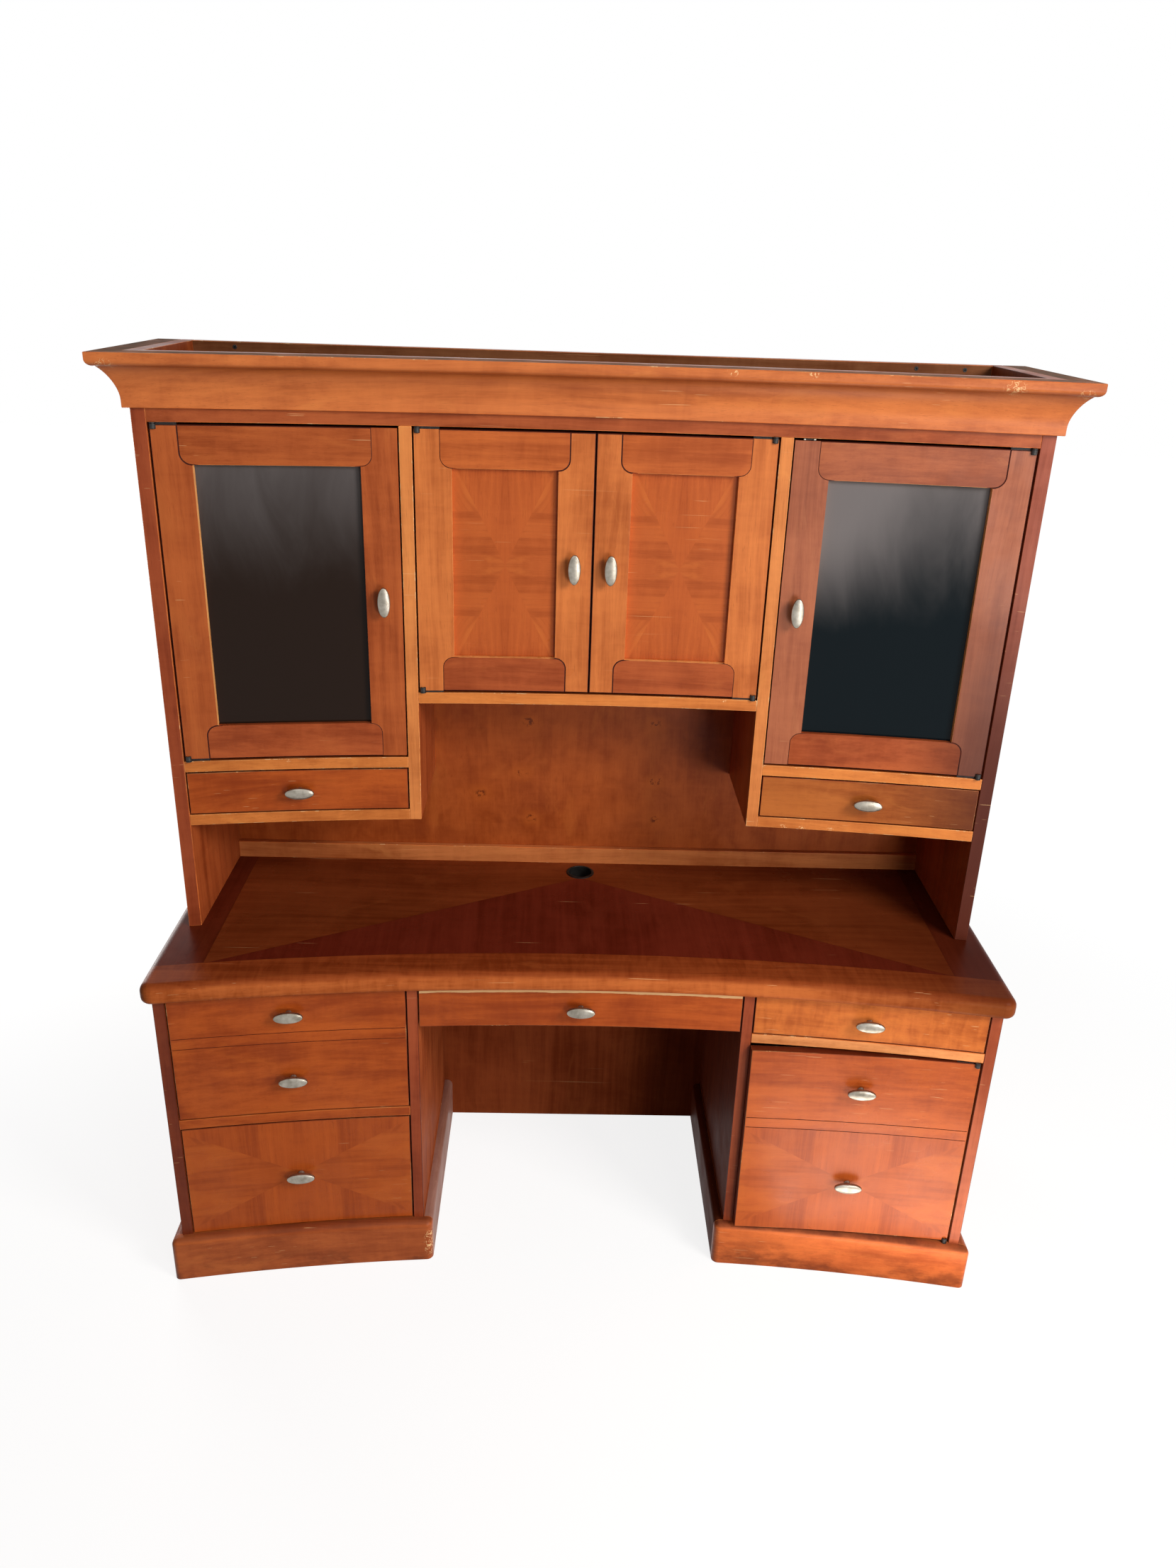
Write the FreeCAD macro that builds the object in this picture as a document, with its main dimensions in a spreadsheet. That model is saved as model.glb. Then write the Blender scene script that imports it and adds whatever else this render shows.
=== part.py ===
import FreeCAD, Part
import Sketcher
import math
import os
import re

# An executive desk with a hutch on its top. The origin is on the floor, in the middle of
# the desk. X runs to the right, Y to the back and Z up. Every front lies on an arc about
# one vertical axis that stands in front of the desk, so the fronts are shallow and concave.

# Driving sizes in millimetres, and one angle in degrees
SIZES = {
    # Desk as a whole
    "desk_width": (1778, "desk top from end to end"),
    "desk_depth": (608, "back of the desk to the front corners of its top"),
    "desk_height": (765, "floor to the desk top's upper face"),
    "front_radius": (4900, "radius of the desk top's concave front"),
    # Desk top
    "top_thickness": (44, "thickness of the desk top"),
    "top_overhang": (20.6, "top and plinth beyond the pedestals"),
    "top_corner": (24, "rounding of the top's front corners, in plan"),
    "nose_upper": (18, "rounding of the top's upper edge"),
    "nose_lower": (13, "rounding of the top's lower edge"),
    "grommet_bore": (30, "radius of the cable hole in the top"),
    "grommet_inset": (70, "cable hole's centre to the back of the desk"),
    "grommet_rim": (33, "radius of the grommet's rim"),
    "grommet_rim_height": (2.5, "grommet's rim above the top"),
    "grommet_wall": (3, "wall of the grommet's sleeve"),
    # Pedestals
    "kneehole_width": (684, "clear width between the pedestals"),
    "side_thickness": (22.5, "pedestal side boards"),
    "bottom_thickness": (24, "pedestal bottom boards"),
    "back_thickness": (16, "back board of the desk"),
    "plinth_height": (108.7, "plinth above the floor"),
    "plinth_round": (9, "rounding of the plinth's upper edge"),
    "rail_height": (23, "fixed rails between the pedestal fronts"),
    "rail_depth": (80, "fixed rails from front to back"),
    "file_front_height": (281.5, "front of the file drawer"),
    "top_front_height": (94, "front of the right top drawer"),
    "centre_front_height": (90, "front of the centre drawer"),
    "centre_front_drop": (6, "centre drawer's front below the top"),
    "front_thickness": (20, "drawer fronts and doors"),
    "reveal": (2.5, "gap round a drawer front and at a door's free edge"),
    "score_height": (2, "scored line across a front"),
    "score_depth": (1.5, "depth of a scored line"),
    # Drawer boxes and the guides that carry them
    "box_side": (12, "drawer sides and backs"),
    "box_bottom": (6, "drawer bottoms"),
    "box_bottom_lift": (8, "drawer bottom above the sides' lower edge"),
    "box_drop": (13, "drawer sides below the front's top and above its foot"),
    "box_clearance": (4, "drawer side to the case beside it"),
    "guide_height": (12, "guide strip, upright"),
    "groove_depth": (5.5, "groove in a drawer side"),
    "groove_play": (0.3, "guide to the upper face of its groove"),
    "groove_end_play": (0.5, "guide to the bottom of its groove"),
    "guide_setback": (25, "guide's front end behind the drawer front"),
    "pedestal_box_gap": (18, "pedestal drawer box to the back board"),
    "centre_box_gap": (118, "centre drawer box to the back board"),
    "hutch_box_gap": (18, "hutch drawer box to the hutch's back"),
    # Hutch
    "hutch_inset": (36.5, "hutch side to the end of the desk top"),
    "hutch_height": (1179.4, "desk top to the top of the crown"),
    "hutch_setback": (239, "hutch front behind the desk top's front"),
    "hutch_side": (26, "hutch side boards"),
    "hutch_back": (8, "hutch back panel"),
    "bay_width": (699.6, "clear width between the dividers"),
    "bay_clear": (240.4, "desk top to the hutch drawers' floor"),
    "divider_width": (24.6, "thickness of the dividers"),
    "shelf_thickness": (24, "hutch floors"),
    "top_panel": (18, "panel over the cabinets"),
    "hutch_drawer_height": (91.4, "front of a hutch drawer"),
    "centre_door_height": (519.5, "doors of the centre cabinet"),
    "frieze_reveal": (25.3, "frieze that shows below the crown"),
    "frieze_thickness": (22, "frieze rail"),
    "cleat_height": (41, "cleat rail above the desk top"),
    "cleat_thickness": (14, "cleat rail"),
    "top_rail_thickness": (22, "rail across the back, behind the crown"),
    # Crown moulding: how far each line stands out, and its height above the crown's foot
    "crown_height": (97.6, "crown from foot to top"),
    "crown_projection": (50, "crown's top beyond the hutch"),
    "crown_foot": (10, "band at the foot beyond the hutch"),
    "crown_foot_height": (14, "top of that band"),
    "crown_neck": (37, "upper end of the cove"),
    "crown_neck_height": (73.2, "upper end of the cove"),
    "crown_cove": (78.3, "radius of the cove"),
    "crown_lip": (12, "rounding under the fascia"),
    # Doors and their pivots
    "hinge_gap": (3.5, "gap at a door's hinge edge"),
    "pivot_gap": (4.5, "gap above and below a door, where its pivots sit"),
    "stile_width": (70, "stiles of a framed door"),
    "door_rail": (72, "rails of a framed door"),
    "rabbet_width": (9, "rabbet that holds a pane or a panel"),
    "rabbet_lip": (10, "frame in front of the rabbet"),
    "pane_play": (0.4, "pane or panel to the frame"),
    "glass_thickness": (4, "glass pane"),
    "panel_thickness": (8, "veneered panel"),
    "pivot_inset": (6.5, "pivot axis to the door's hinge edge"),
    "pivot_nose": (6, "radius of a pivot plate's nose"),
    "pivot_length": (42, "length of a pivot plate"),
    "pivot_width": (12, "width of a pivot plate"),
    "pivot_plate": (1.8, "thickness of a pivot plate"),
    "pivot_pin": (2.5, "radius of a pivot pin"),
    "pivot_play": (0.05, "pin to its hole, on the radius"),
    "pivot_tip": (0.2, "pin's end to the door"),
    "door_ajar": (2.6, "angle at which the pedestal door stands open"),
    # Knobs
    "knob_length": (60, "oval knob, long way"),
    "knob_width": (25, "oval knob, short way"),
    "knob_dome": (14, "thickness of the knob's oval"),
    "knob_projection": (24, "knob's face beyond the front"),
    "knob_stem": (7, "radius of the knob's stem"),
    "knob_seat": (0.05, "stem's foot to the front's curved face"),
}

doc = FreeCAD.newDocument("office_desk")
dim = doc.addObject("Spreadsheet::Sheet", "dim")
for row, (size, (value, meaning)) in enumerate(SIZES.items(), start=1):
    dim.set(f"A{row}", size)
    dim.set(f"B{row}", str(value))
    dim.setAlias(f"B{row}", size)
    dim.set(f"C{row}", meaning)
doc.recompute()

NODES = {}


def bound(text):
    """Put the sheet's name before each size in an expression."""
    def named(word):
        return f"dim.{word[0]}" if word[0] in SIZES else word[0]

    return re.sub(r"[a-z_]+", named, str(text))


def number(text):
    """Value of an expression at the present sizes."""
    return float(dim.evalExpression(bound(text)))


def bind(thing, **expressions):
    """Tie properties of an object to expressions. A double underscore stands for a dot."""
    for name, text in expressions.items():
        thing.setExpression(name.replace("__", "."), bound(text))


def node(thing, label):
    """Keep an object as a sub-part under the name of its file."""
    thing.Label = label
    NODES[label] = thing
    return thing


def mirrored(side, inner, outer):
    """Left and right limits of a piece that lies between two distances from the middle."""
    if side > 0:
        return inner, outer
    return f"-({outer})", f"-({inner})"


# Places that several pieces share
CURVE_Y = "(-desk_depth / 2 - sqrt(front_radius ^ 2 - (desk_width / 2) ^ 2))"
BACK = "(desk_depth / 2)"
PEDESTAL_RADIUS = "(front_radius + top_overhang)"
PEDESTAL_OUT = "(desk_width / 2 - top_overhang)"
PEDESTAL_IN = "(kneehole_width / 2)"
CASE_OUT = f"({PEDESTAL_OUT} - side_thickness)"
CASE_IN = f"({PEDESTAL_IN} + side_thickness)"
CASE_BACK = f"({BACK} - back_thickness)"
HUTCH_RADIUS = "(front_radius + hutch_setback)"
HUTCH_OUT = "(desk_width / 2 - hutch_inset)"
HUTCH_IN = f"({HUTCH_OUT} - hutch_side)"
HUTCH_BACK = f"({BACK} - hutch_back)"
BAY_HALF = "(bay_width / 2)"
DIVIDER_OUT = "(bay_width / 2 + divider_width)"

# Levels of the desk, from the floor up
TOP_UNDER = "(desk_height - top_thickness)"
FRONTS_LOW = "(plinth_height + reveal)"
FRONTS_HIGH = f"({TOP_UNDER} - reveal)"
FILE_HIGH = f"({FRONTS_LOW} + file_front_height)"
LEFT_RAIL_LOW = f"({FILE_HIGH} + reveal)"
LEFT_RAIL_HIGH = f"({LEFT_RAIL_LOW} + rail_height)"
UPPER_LOW = f"({LEFT_RAIL_HIGH} + reveal)"
TOP_FRONT_LOW = f"({FRONTS_HIGH} - top_front_height)"
RIGHT_RAIL_HIGH = f"({TOP_FRONT_LOW} - reveal)"
RIGHT_RAIL_LOW = f"({RIGHT_RAIL_HIGH} - rail_height)"
DOOR_LOW = "(plinth_height + pivot_gap)"
DOOR_HIGH = f"({RIGHT_RAIL_LOW} - pivot_gap)"
CENTRE_FRONT_HIGH = f"({TOP_UNDER} - centre_front_drop)"
CENTRE_FRONT_LOW = f"({CENTRE_FRONT_HIGH} - centre_front_height)"

# Levels of the hutch
BAY_HIGH = "(desk_height + bay_clear)"
DRAWER_FLOOR_HIGH = f"({BAY_HIGH} + shelf_thickness)"
HUTCH_DRAWER_LOW = f"({DRAWER_FLOOR_HIGH} + reveal)"
HUTCH_DRAWER_HIGH = f"({HUTCH_DRAWER_LOW} + hutch_drawer_height)"
GLASS_FLOOR_LOW = f"({HUTCH_DRAWER_HIGH} + reveal)"
GLASS_FLOOR_HIGH = f"({GLASS_FLOOR_LOW} + shelf_thickness)"
GLASS_DOOR_LOW = f"({GLASS_FLOOR_HIGH} + pivot_gap)"
CROWN_HIGH = "(desk_height + hutch_height)"
CROWN_LOW = f"({CROWN_HIGH} - crown_height)"
FRIEZE_LOW = f"({CROWN_LOW} - frieze_reveal)"
TOP_PANEL_HIGH = f"({FRIEZE_LOW} + top_panel)"
HUTCH_DOOR_HIGH = f"({FRIEZE_LOW} - pivot_gap)"
CENTRE_DOOR_LOW = f"({HUTCH_DOOR_HIGH} - centre_door_height)"
CENTRE_FLOOR_HIGH = f"({CENTRE_DOOR_LOW} - pivot_gap)"
CENTRE_FLOOR_LOW = f"({CENTRE_FLOOR_HIGH} - shelf_thickness)"


def on_curve(radius, x):
    """Y of the point at x on the arc of a radius about the fronts' axis."""
    return f"({CURVE_Y} + sqrt(({radius}) ^ 2 - ({x}) ^ 2))"


def arc(radius):
    """A face of a block that follows the fronts' curve."""
    return (lambda x: on_curve(radius, x)), radius


def flat(y):
    """A face of a block that lies square to Y."""
    return (lambda x: y), None


def outline(body, plane, corners, bends, level):
    """Draw a closed outline. bends holds a curved edge's radius and the side its centre is on."""
    sketch = body.newObject("Sketcher::SketchObject", f"{body.Name}_outline")
    support = [feature for feature in body.Origin.OriginFeatures if feature.Role == plane]
    sketch.AttachmentSupport = [(support[0], "")]
    sketch.MapMode = "FlatFace"
    bind(sketch, AttachmentOffset__Base__z=level)
    points = [FreeCAD.Vector(number(x), number(y), 0) for x, y in corners]
    ends = []
    for index, start in enumerate(points):
        stop = points[(index + 1) % len(points)]
        if index not in bends:
            sketch.addGeometry(Part.LineSegment(start, stop))
            ends.append((1, 2))
            continue
        radius, side = bends[index]
        chord = stop - start
        rise = math.sqrt(number(radius) ** 2 - (chord.Length / 2) ** 2)
        left = FreeCAD.Vector(-chord.y, chord.x, 0).normalize()
        centre = (start + stop) / 2 + left * (rise if side == "left" else -rise)
        circle = Part.Circle(centre, FreeCAD.Vector(0, 0, 1), number(radius))
        first, last = (start, stop) if side == "left" else (stop, start)
        angles = [math.atan2(point.y - centre.y, point.x - centre.x) for point in (first, last)]
        sketch.addGeometry(Part.ArcOfCircle(circle, *angles))
        ends.append((1, 2) if side == "left" else (2, 1))
    for index, (x, y) in enumerate(corners):
        before = (index - 1) % len(corners)
        here = (index, ends[index][0])
        sketch.addConstraint(Sketcher.Constraint("Coincident", before, ends[before][1], *here))
        for kind, text in (("DistanceX", x), ("DistanceY", y)):
            added = sketch.addConstraint(Sketcher.Constraint(kind, -1, 1, *here, number(text)))
            sketch.setExpression(f"Constraints[{added}]", bound(text))
    for index, (radius, side) in bends.items():
        added = sketch.addConstraint(Sketcher.Constraint("Radius", index, number(radius)))
        sketch.setExpression(f"Constraints[{added}]", bound(radius))
    return sketch


def add_block(body, left, right, front, back, low, high, relief=("0", "0")):
    """Add a block between two plan limits, a front and a back face, and two levels.

    relief sets the rear corners in from the left and right limits.
    """
    (front_y, front_bend), (back_y, back_bend) = front, back
    rear_left = f"({left} + {relief[0]})"
    rear_right = f"({right} - {relief[1]})"
    corners = [(left, front_y(left)), (right, front_y(right)),
               (rear_right, back_y(rear_right)), (rear_left, back_y(rear_left))]
    bends = {}
    if front_bend:
        bends[0] = (front_bend, "right")
    if back_bend:
        bends[2] = (back_bend, "left")
    pad = body.newObject("PartDesign::Pad", f"{body.Name}_pad")
    pad.Profile = outline(body, "XY_Plane", corners, bends, low)
    bind(pad, Length=f"({high}) - ({low})")
    body.Tip = pad
    return pad


def board(name, *blocks):
    """A body made of one or more joined blocks."""
    body = doc.addObject("PartDesign::Body", name)
    for block in blocks:
        add_block(body, *block)
    return body


def square_board(name, left, right, front, back, low, high):
    """A board with six flat faces."""
    box = doc.addObject("Part::Box", name)
    bind(box, Length=f"({right}) - ({left})", Width=f"({back}) - ({front})",
         Height=f"({high}) - ({low})")
    bind(box, Placement__Base__x=left, Placement__Base__y=front, Placement__Base__z=low)
    return box


def cylinder(name, radius, low, high, x="0", y="0"):
    """An upright cylinder between two levels."""
    rod = doc.addObject("Part::Cylinder", name)
    bind(rod, Radius=radius, Height=f"({high}) - ({low})")
    bind(rod, Placement__Base__x=x, Placement__Base__y=y, Placement__Base__z=low)
    return rod


def joined(name, *pieces):
    """Several shapes made one solid."""
    whole = doc.addObject("Part::MultiFuse", name)
    whole.Shapes = list(pieces)
    return whole


def group(name, *pieces):
    """Separate solids kept together as one sub-part."""
    whole = doc.addObject("Part::Compound", name)
    whole.Links = list(pieces)
    return whole


def round_edges(body, radius, chosen):
    """Round the edges of a body that a test on their middle point picks."""
    doc.recompute()
    base = body.Tip
    names = []
    for index, edge in enumerate(base.Shape.Edges, start=1):
        middle = edge.valueAt((edge.FirstParameter + edge.LastParameter) / 2)
        if chosen(middle):
            names.append(f"Edge{index}")
    fillet = body.newObject("PartDesign::Fillet", f"{body.Name}_round")
    fillet.Base = (base, names)
    bind(fillet, Radius=radius)
    body.Tip = fillet


def near(value, text):
    """True where a coordinate lies at an expression's value."""
    return abs(value - number(text)) < 0.01


def desk_top():
    """The top: concave front, rounded front corners and nose, and the cable hole."""
    half = "(desk_width / 2)"
    front = arc("front_radius")
    body = board("desk_top", (f"-{half}", half, front, flat(BACK), TOP_UNDER, "desk_height"))
    middle = "(desk_height - top_thickness / 2)"
    corner_y = on_curve("front_radius", half)
    round_edges(body, "top_corner", lambda point: near(point.z, middle) and near(point.y, corner_y))
    for level, radius in (("desk_height", "nose_upper"), (TOP_UNDER, "nose_lower")):
        round_edges(body, radius, lambda point: near(point.z, level) and not near(point.y, BACK))
    hole = cylinder("cable_hole", "grommet_bore", f"{TOP_UNDER} - top_thickness",
                    "desk_height + top_thickness", y=f"{BACK} - grommet_inset")
    top = doc.addObject("Part::Cut", "drilled_top")
    top.Base = body
    top.Tool = hole
    node(top, "desk_top")


def cable_grommet():
    """A plastic sleeve through the top, with a rim that lies on it."""
    place = {"y": f"{BACK} - grommet_inset"}
    rim_high = "(desk_height + grommet_rim_height)"
    sleeve = cylinder("grommet_sleeve", "grommet_bore", TOP_UNDER, rim_high, **place)
    rim = cylinder("grommet_rim", "grommet_rim", "desk_height", rim_high, **place)
    bore = cylinder("grommet_way", "grommet_bore - grommet_wall", f"{TOP_UNDER} - top_thickness",
                    "desk_height + top_thickness", **place)
    grommet = doc.addObject("Part::Cut", "grommet")
    grommet.Base = joined("grommet_outside", sleeve, rim)
    grommet.Tool = bore
    node(grommet, "cable_grommet")


def pedestal_cases():
    """Side boards, bottoms and fixed rails of both pedestals, and the back board."""
    front = arc(PEDESTAL_RADIUS)
    bottoms = []
    rails = []
    for side, word in ((-1, "left"), (1, "right")):
        boards = []
        for name, inner, outer in (("inner", PEDESTAL_IN, CASE_IN), ("outer", CASE_OUT, PEDESTAL_OUT)):
            limits = mirrored(side, inner, outer)
            boards.append(board(f"{word}_{name}_side",
                                (*limits, front, flat(CASE_BACK), "0", TOP_UNDER)))
        node(group(f"{word}_sides", *boards), f"{word}_pedestal_sides")
        limits = mirrored(side, CASE_IN, CASE_OUT)
        low = "(plinth_height - bottom_thickness)"
        bottoms.append(board(f"{word}_bottom",
                             (*limits, front, flat(CASE_BACK), low, "plinth_height")))
        levels = (LEFT_RAIL_LOW, LEFT_RAIL_HIGH) if side < 0 else (RIGHT_RAIL_LOW, RIGHT_RAIL_HIGH)
        rail_back = arc(f"({PEDESTAL_RADIUS} + rail_depth)")
        rails.append(board(f"{word}_rail", (*limits, front, rail_back, *levels)))
    node(group("bottoms", *bottoms), "pedestal_bottoms")
    node(group("rails", *rails), "pedestal_rails")
    limits = (f"-{PEDESTAL_OUT}", PEDESTAL_OUT)
    node(square_board("back", *limits, CASE_BACK, BACK, "0", TOP_UNDER), "desk_back")


def plinth(side, word):
    """A curved front board and two returns, each rounded along its upper outer edge."""
    inner = f"({PEDESTAL_IN} - top_overhang)"
    outer = "(desk_width / 2)"
    levels = ("0", "plinth_height")
    limits = mirrored(side, inner, outer)
    front = board(f"{word}_plinth_front",
                  (*limits, arc("front_radius"), arc(PEDESTAL_RADIUS), *levels))

    def shows(point):
        behind = math.hypot(point.x, point.y - number(CURVE_Y)) - number(PEDESTAL_RADIUS)
        return near(point.z, "plinth_height") and behind < -0.1

    round_edges(front, "plinth_round", shows)
    pieces = [front]
    for name, low, high, shown, back in (("inner", inner, PEDESTAL_IN, inner, CASE_BACK),
                                         ("outer", PEDESTAL_OUT, outer, outer, BACK)):
        limits = mirrored(side, low, high)
        piece = board(f"{word}_plinth_{name}", (*limits, arc(PEDESTAL_RADIUS), flat(back), *levels))
        round_edges(piece, "plinth_round",
                    lambda point: near(point.z, "plinth_height") and near(abs(point.x), shown))
        pieces.append(piece)
    node(group(f"{word}_plinth_boards", *pieces), f"{word}_plinth")


def knob(name, x, level, radius, upright):
    """An oval domed knob on a round stem, square to the curved front behind it."""
    oval = doc.addObject("Part::Ellipsoid", f"{name}_oval")
    tall, wide = ("knob_length", "knob_width") if upright else ("knob_width", "knob_length")
    bind(oval, Radius1=f"{tall} / 2", Radius2=f"{wide} / 2", Radius3="knob_dome / 2")
    bind(oval, Placement__Base__y="knob_dome / 2 - knob_projection")
    stem = doc.addObject("Part::Cylinder", f"{name}_stem")
    bind(stem, Radius="knob_stem", Height="knob_projection - knob_dome / 2")
    forward = FreeCAD.Rotation(FreeCAD.Vector(1, 0, 0), 90)
    stem.Placement = FreeCAD.Placement(FreeCAD.Vector(), forward)
    whole = joined(name, oval, stem)
    bind(whole, Placement__Base__x=x, Placement__Base__y=f"{on_curve(radius, x)} - knob_seat",
         Placement__Base__z=level, Placement__Rotation__Angle=f"asin(-({x}) / ({radius}))")
    return whole


def scored_front(left, right, radius, low, high, scores, relief=("0", "0")):
    """Blocks of a front that scored lines divide. scores holds the middle level of each line."""
    face = arc(radius)
    scored_face = arc(f"({radius} + score_depth)")
    back = arc(f"({radius} + front_thickness)")
    if not scores:
        return [(left, right, face, back, low, high, relief)]
    blocks = [(left, right, scored_face, back, low, high, relief)]
    start = low
    for score in scores:
        blocks.append((left, right, face, scored_face, start, f"({score} - score_height / 2)"))
        start = f"({score} + score_height / 2)"
    blocks.append((left, right, face, scored_face, start, high))
    return blocks


def drawer(word, left, right, radius, low, high, box_back, knob_levels, scores=()):
    """A drawer between two case walls. Returns the guide strips that carry it."""
    edges = (f"({left} + reveal)", f"({right} - reveal)")
    node(board(f"{word}_face", *scored_front(*edges, radius, low, high, scores)), f"{word}_front")
    inside_radius = f"({radius} + front_thickness)"
    inside = arc(inside_radius)
    box_low = f"({low} + box_drop)"
    box_high = f"({high} - box_drop)"
    guide_low = f"(({box_low} + {box_high} - guide_height) / 2)"
    guide_high = f"({guide_low} + guide_height)"
    groove_low = f"({guide_low} - 2 * groove_play)"
    groove_high = f"({guide_high} + groove_play)"
    pieces = []
    guides = []
    for wall, inward in ((left, 1), (right, -1)):
        def limits(near_wall, far_wall):
            edges = [f"({wall} + {inward} * ({near_wall}))", f"({wall} + {inward} * ({far_wall}))"]
            return edges[::inward]
        full = limits("box_clearance", "box_clearance + box_side")
        web = limits("box_clearance + groove_depth", "box_clearance + box_side")
        levels = ((full, box_low, groove_low), (web, groove_low, groove_high),
                  (full, groove_high, box_high))
        hand = "left" if inward > 0 else "right"
        blocks = [(*edges, inside, flat(box_back), under, over) for edges, under, over in levels]
        pieces.append(board(f"{word}_{hand}_wall", *blocks))
        strip = limits("0", "box_clearance + groove_depth - groove_end_play")
        guide_front = f"({on_curve(inside_radius, wall)} + guide_setback)"
        guides.append(square_board(f"{word}_{hand}_guide", *strip, guide_front, box_back,
                                   guide_low, guide_high))
    inner = (f"({left} + box_clearance + box_side)", f"({right} - box_clearance - box_side)")
    wall_front = f"({box_back} - box_side)"
    pieces.append(square_board(f"{word}_back_wall", *inner, wall_front, box_back, box_low, box_high))
    bottom_low = f"({box_low} + box_bottom_lift)"
    bottom = (*inner, inside, flat(wall_front), bottom_low, f"({bottom_low} + box_bottom)")
    pieces.append(board(f"{word}_base", bottom))
    node(group(f"{word}_walls", *pieces), f"{word}_box")
    middle = f"(({left} + {right}) / 2)"
    knobs = [knob(f"{word}_knob_{index}", middle, level, radius, upright=False)
             for index, level in enumerate(knob_levels)]
    if len(knobs) == 1:
        node(knobs[0], f"{word}_knob")
    else:
        node(group(f"{word}_knob_pair", *knobs), f"{word}_knobs")
    return guides


def midway(low, high):
    """Level half way between two levels."""
    return f"(({low} + {high}) / 2)"


def drawers():
    """All six drawers and their guides."""
    left = mirrored(-1, CASE_IN, CASE_OUT)
    right = mirrored(1, CASE_IN, CASE_OUT)
    box_back = f"({CASE_BACK} - pedestal_box_gap)"
    score_high = f"({RIGHT_RAIL_HIGH} + reveal / 2)"
    score_low = f"({RIGHT_RAIL_LOW} - reveal / 2)"
    knob_levels = (midway(UPPER_LOW, score_low), midway(score_high, FRONTS_HIGH))
    guides = drawer("left_upper_drawer", *left, PEDESTAL_RADIUS, UPPER_LOW, FRONTS_HIGH, box_back,
                    knob_levels, scores=(score_low, score_high))
    guides += drawer("left_file_drawer", *left, PEDESTAL_RADIUS, FRONTS_LOW, FILE_HIGH, box_back,
                     (midway(FRONTS_LOW, FILE_HIGH),))
    guides += drawer("right_top_drawer", *right, PEDESTAL_RADIUS, TOP_FRONT_LOW, FRONTS_HIGH, box_back,
                     (midway(TOP_FRONT_LOW, FRONTS_HIGH),))
    guides += drawer("centre_drawer", f"-{PEDESTAL_IN}", PEDESTAL_IN, PEDESTAL_RADIUS, CENTRE_FRONT_LOW,
                     CENTRE_FRONT_HIGH, f"({CASE_BACK} - centre_box_gap)",
                     (midway(CENTRE_FRONT_LOW, CENTRE_FRONT_HIGH),))
    for side, word in ((-1, "left"), (1, "right")):
        limits = mirrored(side, DIVIDER_OUT, HUTCH_IN)
        guides += drawer(f"{word}_hutch_drawer", *limits, HUTCH_RADIUS, HUTCH_DRAWER_LOW,
                         HUTCH_DRAWER_HIGH, f"({HUTCH_BACK} - hutch_box_gap)",
                         (midway(HUTCH_DRAWER_LOW, HUTCH_DRAWER_HIGH),))
    node(group("guides", *guides), "drawer_guides")


def hutch_case():
    """Sides, dividers, floors, panels and rails of the hutch."""
    front = arc(HUTCH_RADIUS)
    back = flat(HUTCH_BACK)
    sides = []
    dividers = []
    drawer_floors = []
    glass_floors = []
    for side, word in ((-1, "left"), (1, "right")):
        limits = mirrored(side, HUTCH_IN, HUTCH_OUT)
        sides.append(board(f"{word}_hutch_side",
                           (*limits, front, flat(BACK), "desk_height", CROWN_HIGH)))
        limits = mirrored(side, BAY_HALF, DIVIDER_OUT)
        dividers.append(board(f"{word}_divider", (*limits, front, back, BAY_HIGH, FRIEZE_LOW)))
        limits = mirrored(side, DIVIDER_OUT, HUTCH_IN)
        drawer_floors.append(board(f"{word}_drawer_floor",
                                   (*limits, front, back, BAY_HIGH, DRAWER_FLOOR_HIGH)))
        glass_floors.append(board(f"{word}_glass_floor",
                                  (*limits, front, back, GLASS_FLOOR_LOW, GLASS_FLOOR_HIGH)))
    node(group("hutch_side_pair", *sides), "hutch_sides")
    node(group("divider_pair", *dividers), "hutch_dividers")
    node(group("drawer_floor_pair", *drawer_floors), "hutch_drawer_floors")
    node(group("glass_floor_pair", *glass_floors), "glass_cabinet_floors")
    centre = (f"-{BAY_HALF}", BAY_HALF, front, back, CENTRE_FLOOR_LOW, CENTRE_FLOOR_HIGH)
    node(board("centre_floor", centre), "centre_cabinet_floor")
    behind = arc(f"({HUTCH_RADIUS} + frieze_thickness)")
    limits = (f"-{HUTCH_IN}", HUTCH_IN)
    node(board("frieze", (*limits, front, behind, FRIEZE_LOW, CROWN_HIGH)), "frieze_rail")
    node(board("ceiling", (*limits, behind, back, FRIEZE_LOW, TOP_PANEL_HIGH)), "hutch_top_panel")
    panel = square_board("panel", *limits, HUTCH_BACK, BACK, "desk_height", TOP_PANEL_HIGH)
    node(panel, "hutch_back_panel")
    cleat = square_board("cleat", *limits, f"({HUTCH_BACK} - cleat_thickness)", HUTCH_BACK,
                         "desk_height", "(desk_height + cleat_height)")
    top_rail = square_board("top_rail", *limits, f"({BACK} - top_rail_thickness)", BACK,
                            TOP_PANEL_HIGH, CROWN_HIGH)
    node(group("back_rail_pair", cleat, top_rail), "hutch_back_rails")


def crown_profile(place, mirror):
    """Corners and bends of the crown's section. place turns a distance out into a coordinate."""
    lip_high = "(crown_neck_height + crown_lip)"
    section = [("0", "0"), ("crown_foot", "0"), ("crown_foot", "crown_foot_height"),
               ("crown_neck", "crown_neck_height"), ("(crown_projection - crown_lip)", "crown_neck_height"),
               ("crown_projection", lip_high), ("crown_projection", "crown_height"), ("0", "crown_height")]
    hollow, round_lip = ("left", "right") if mirror else ("right", "left")
    corners = [(place(out), level) for out, level in section]
    return corners, {2: ("crown_cove", hollow), 4: ("crown_lip", round_lip)}


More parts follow.
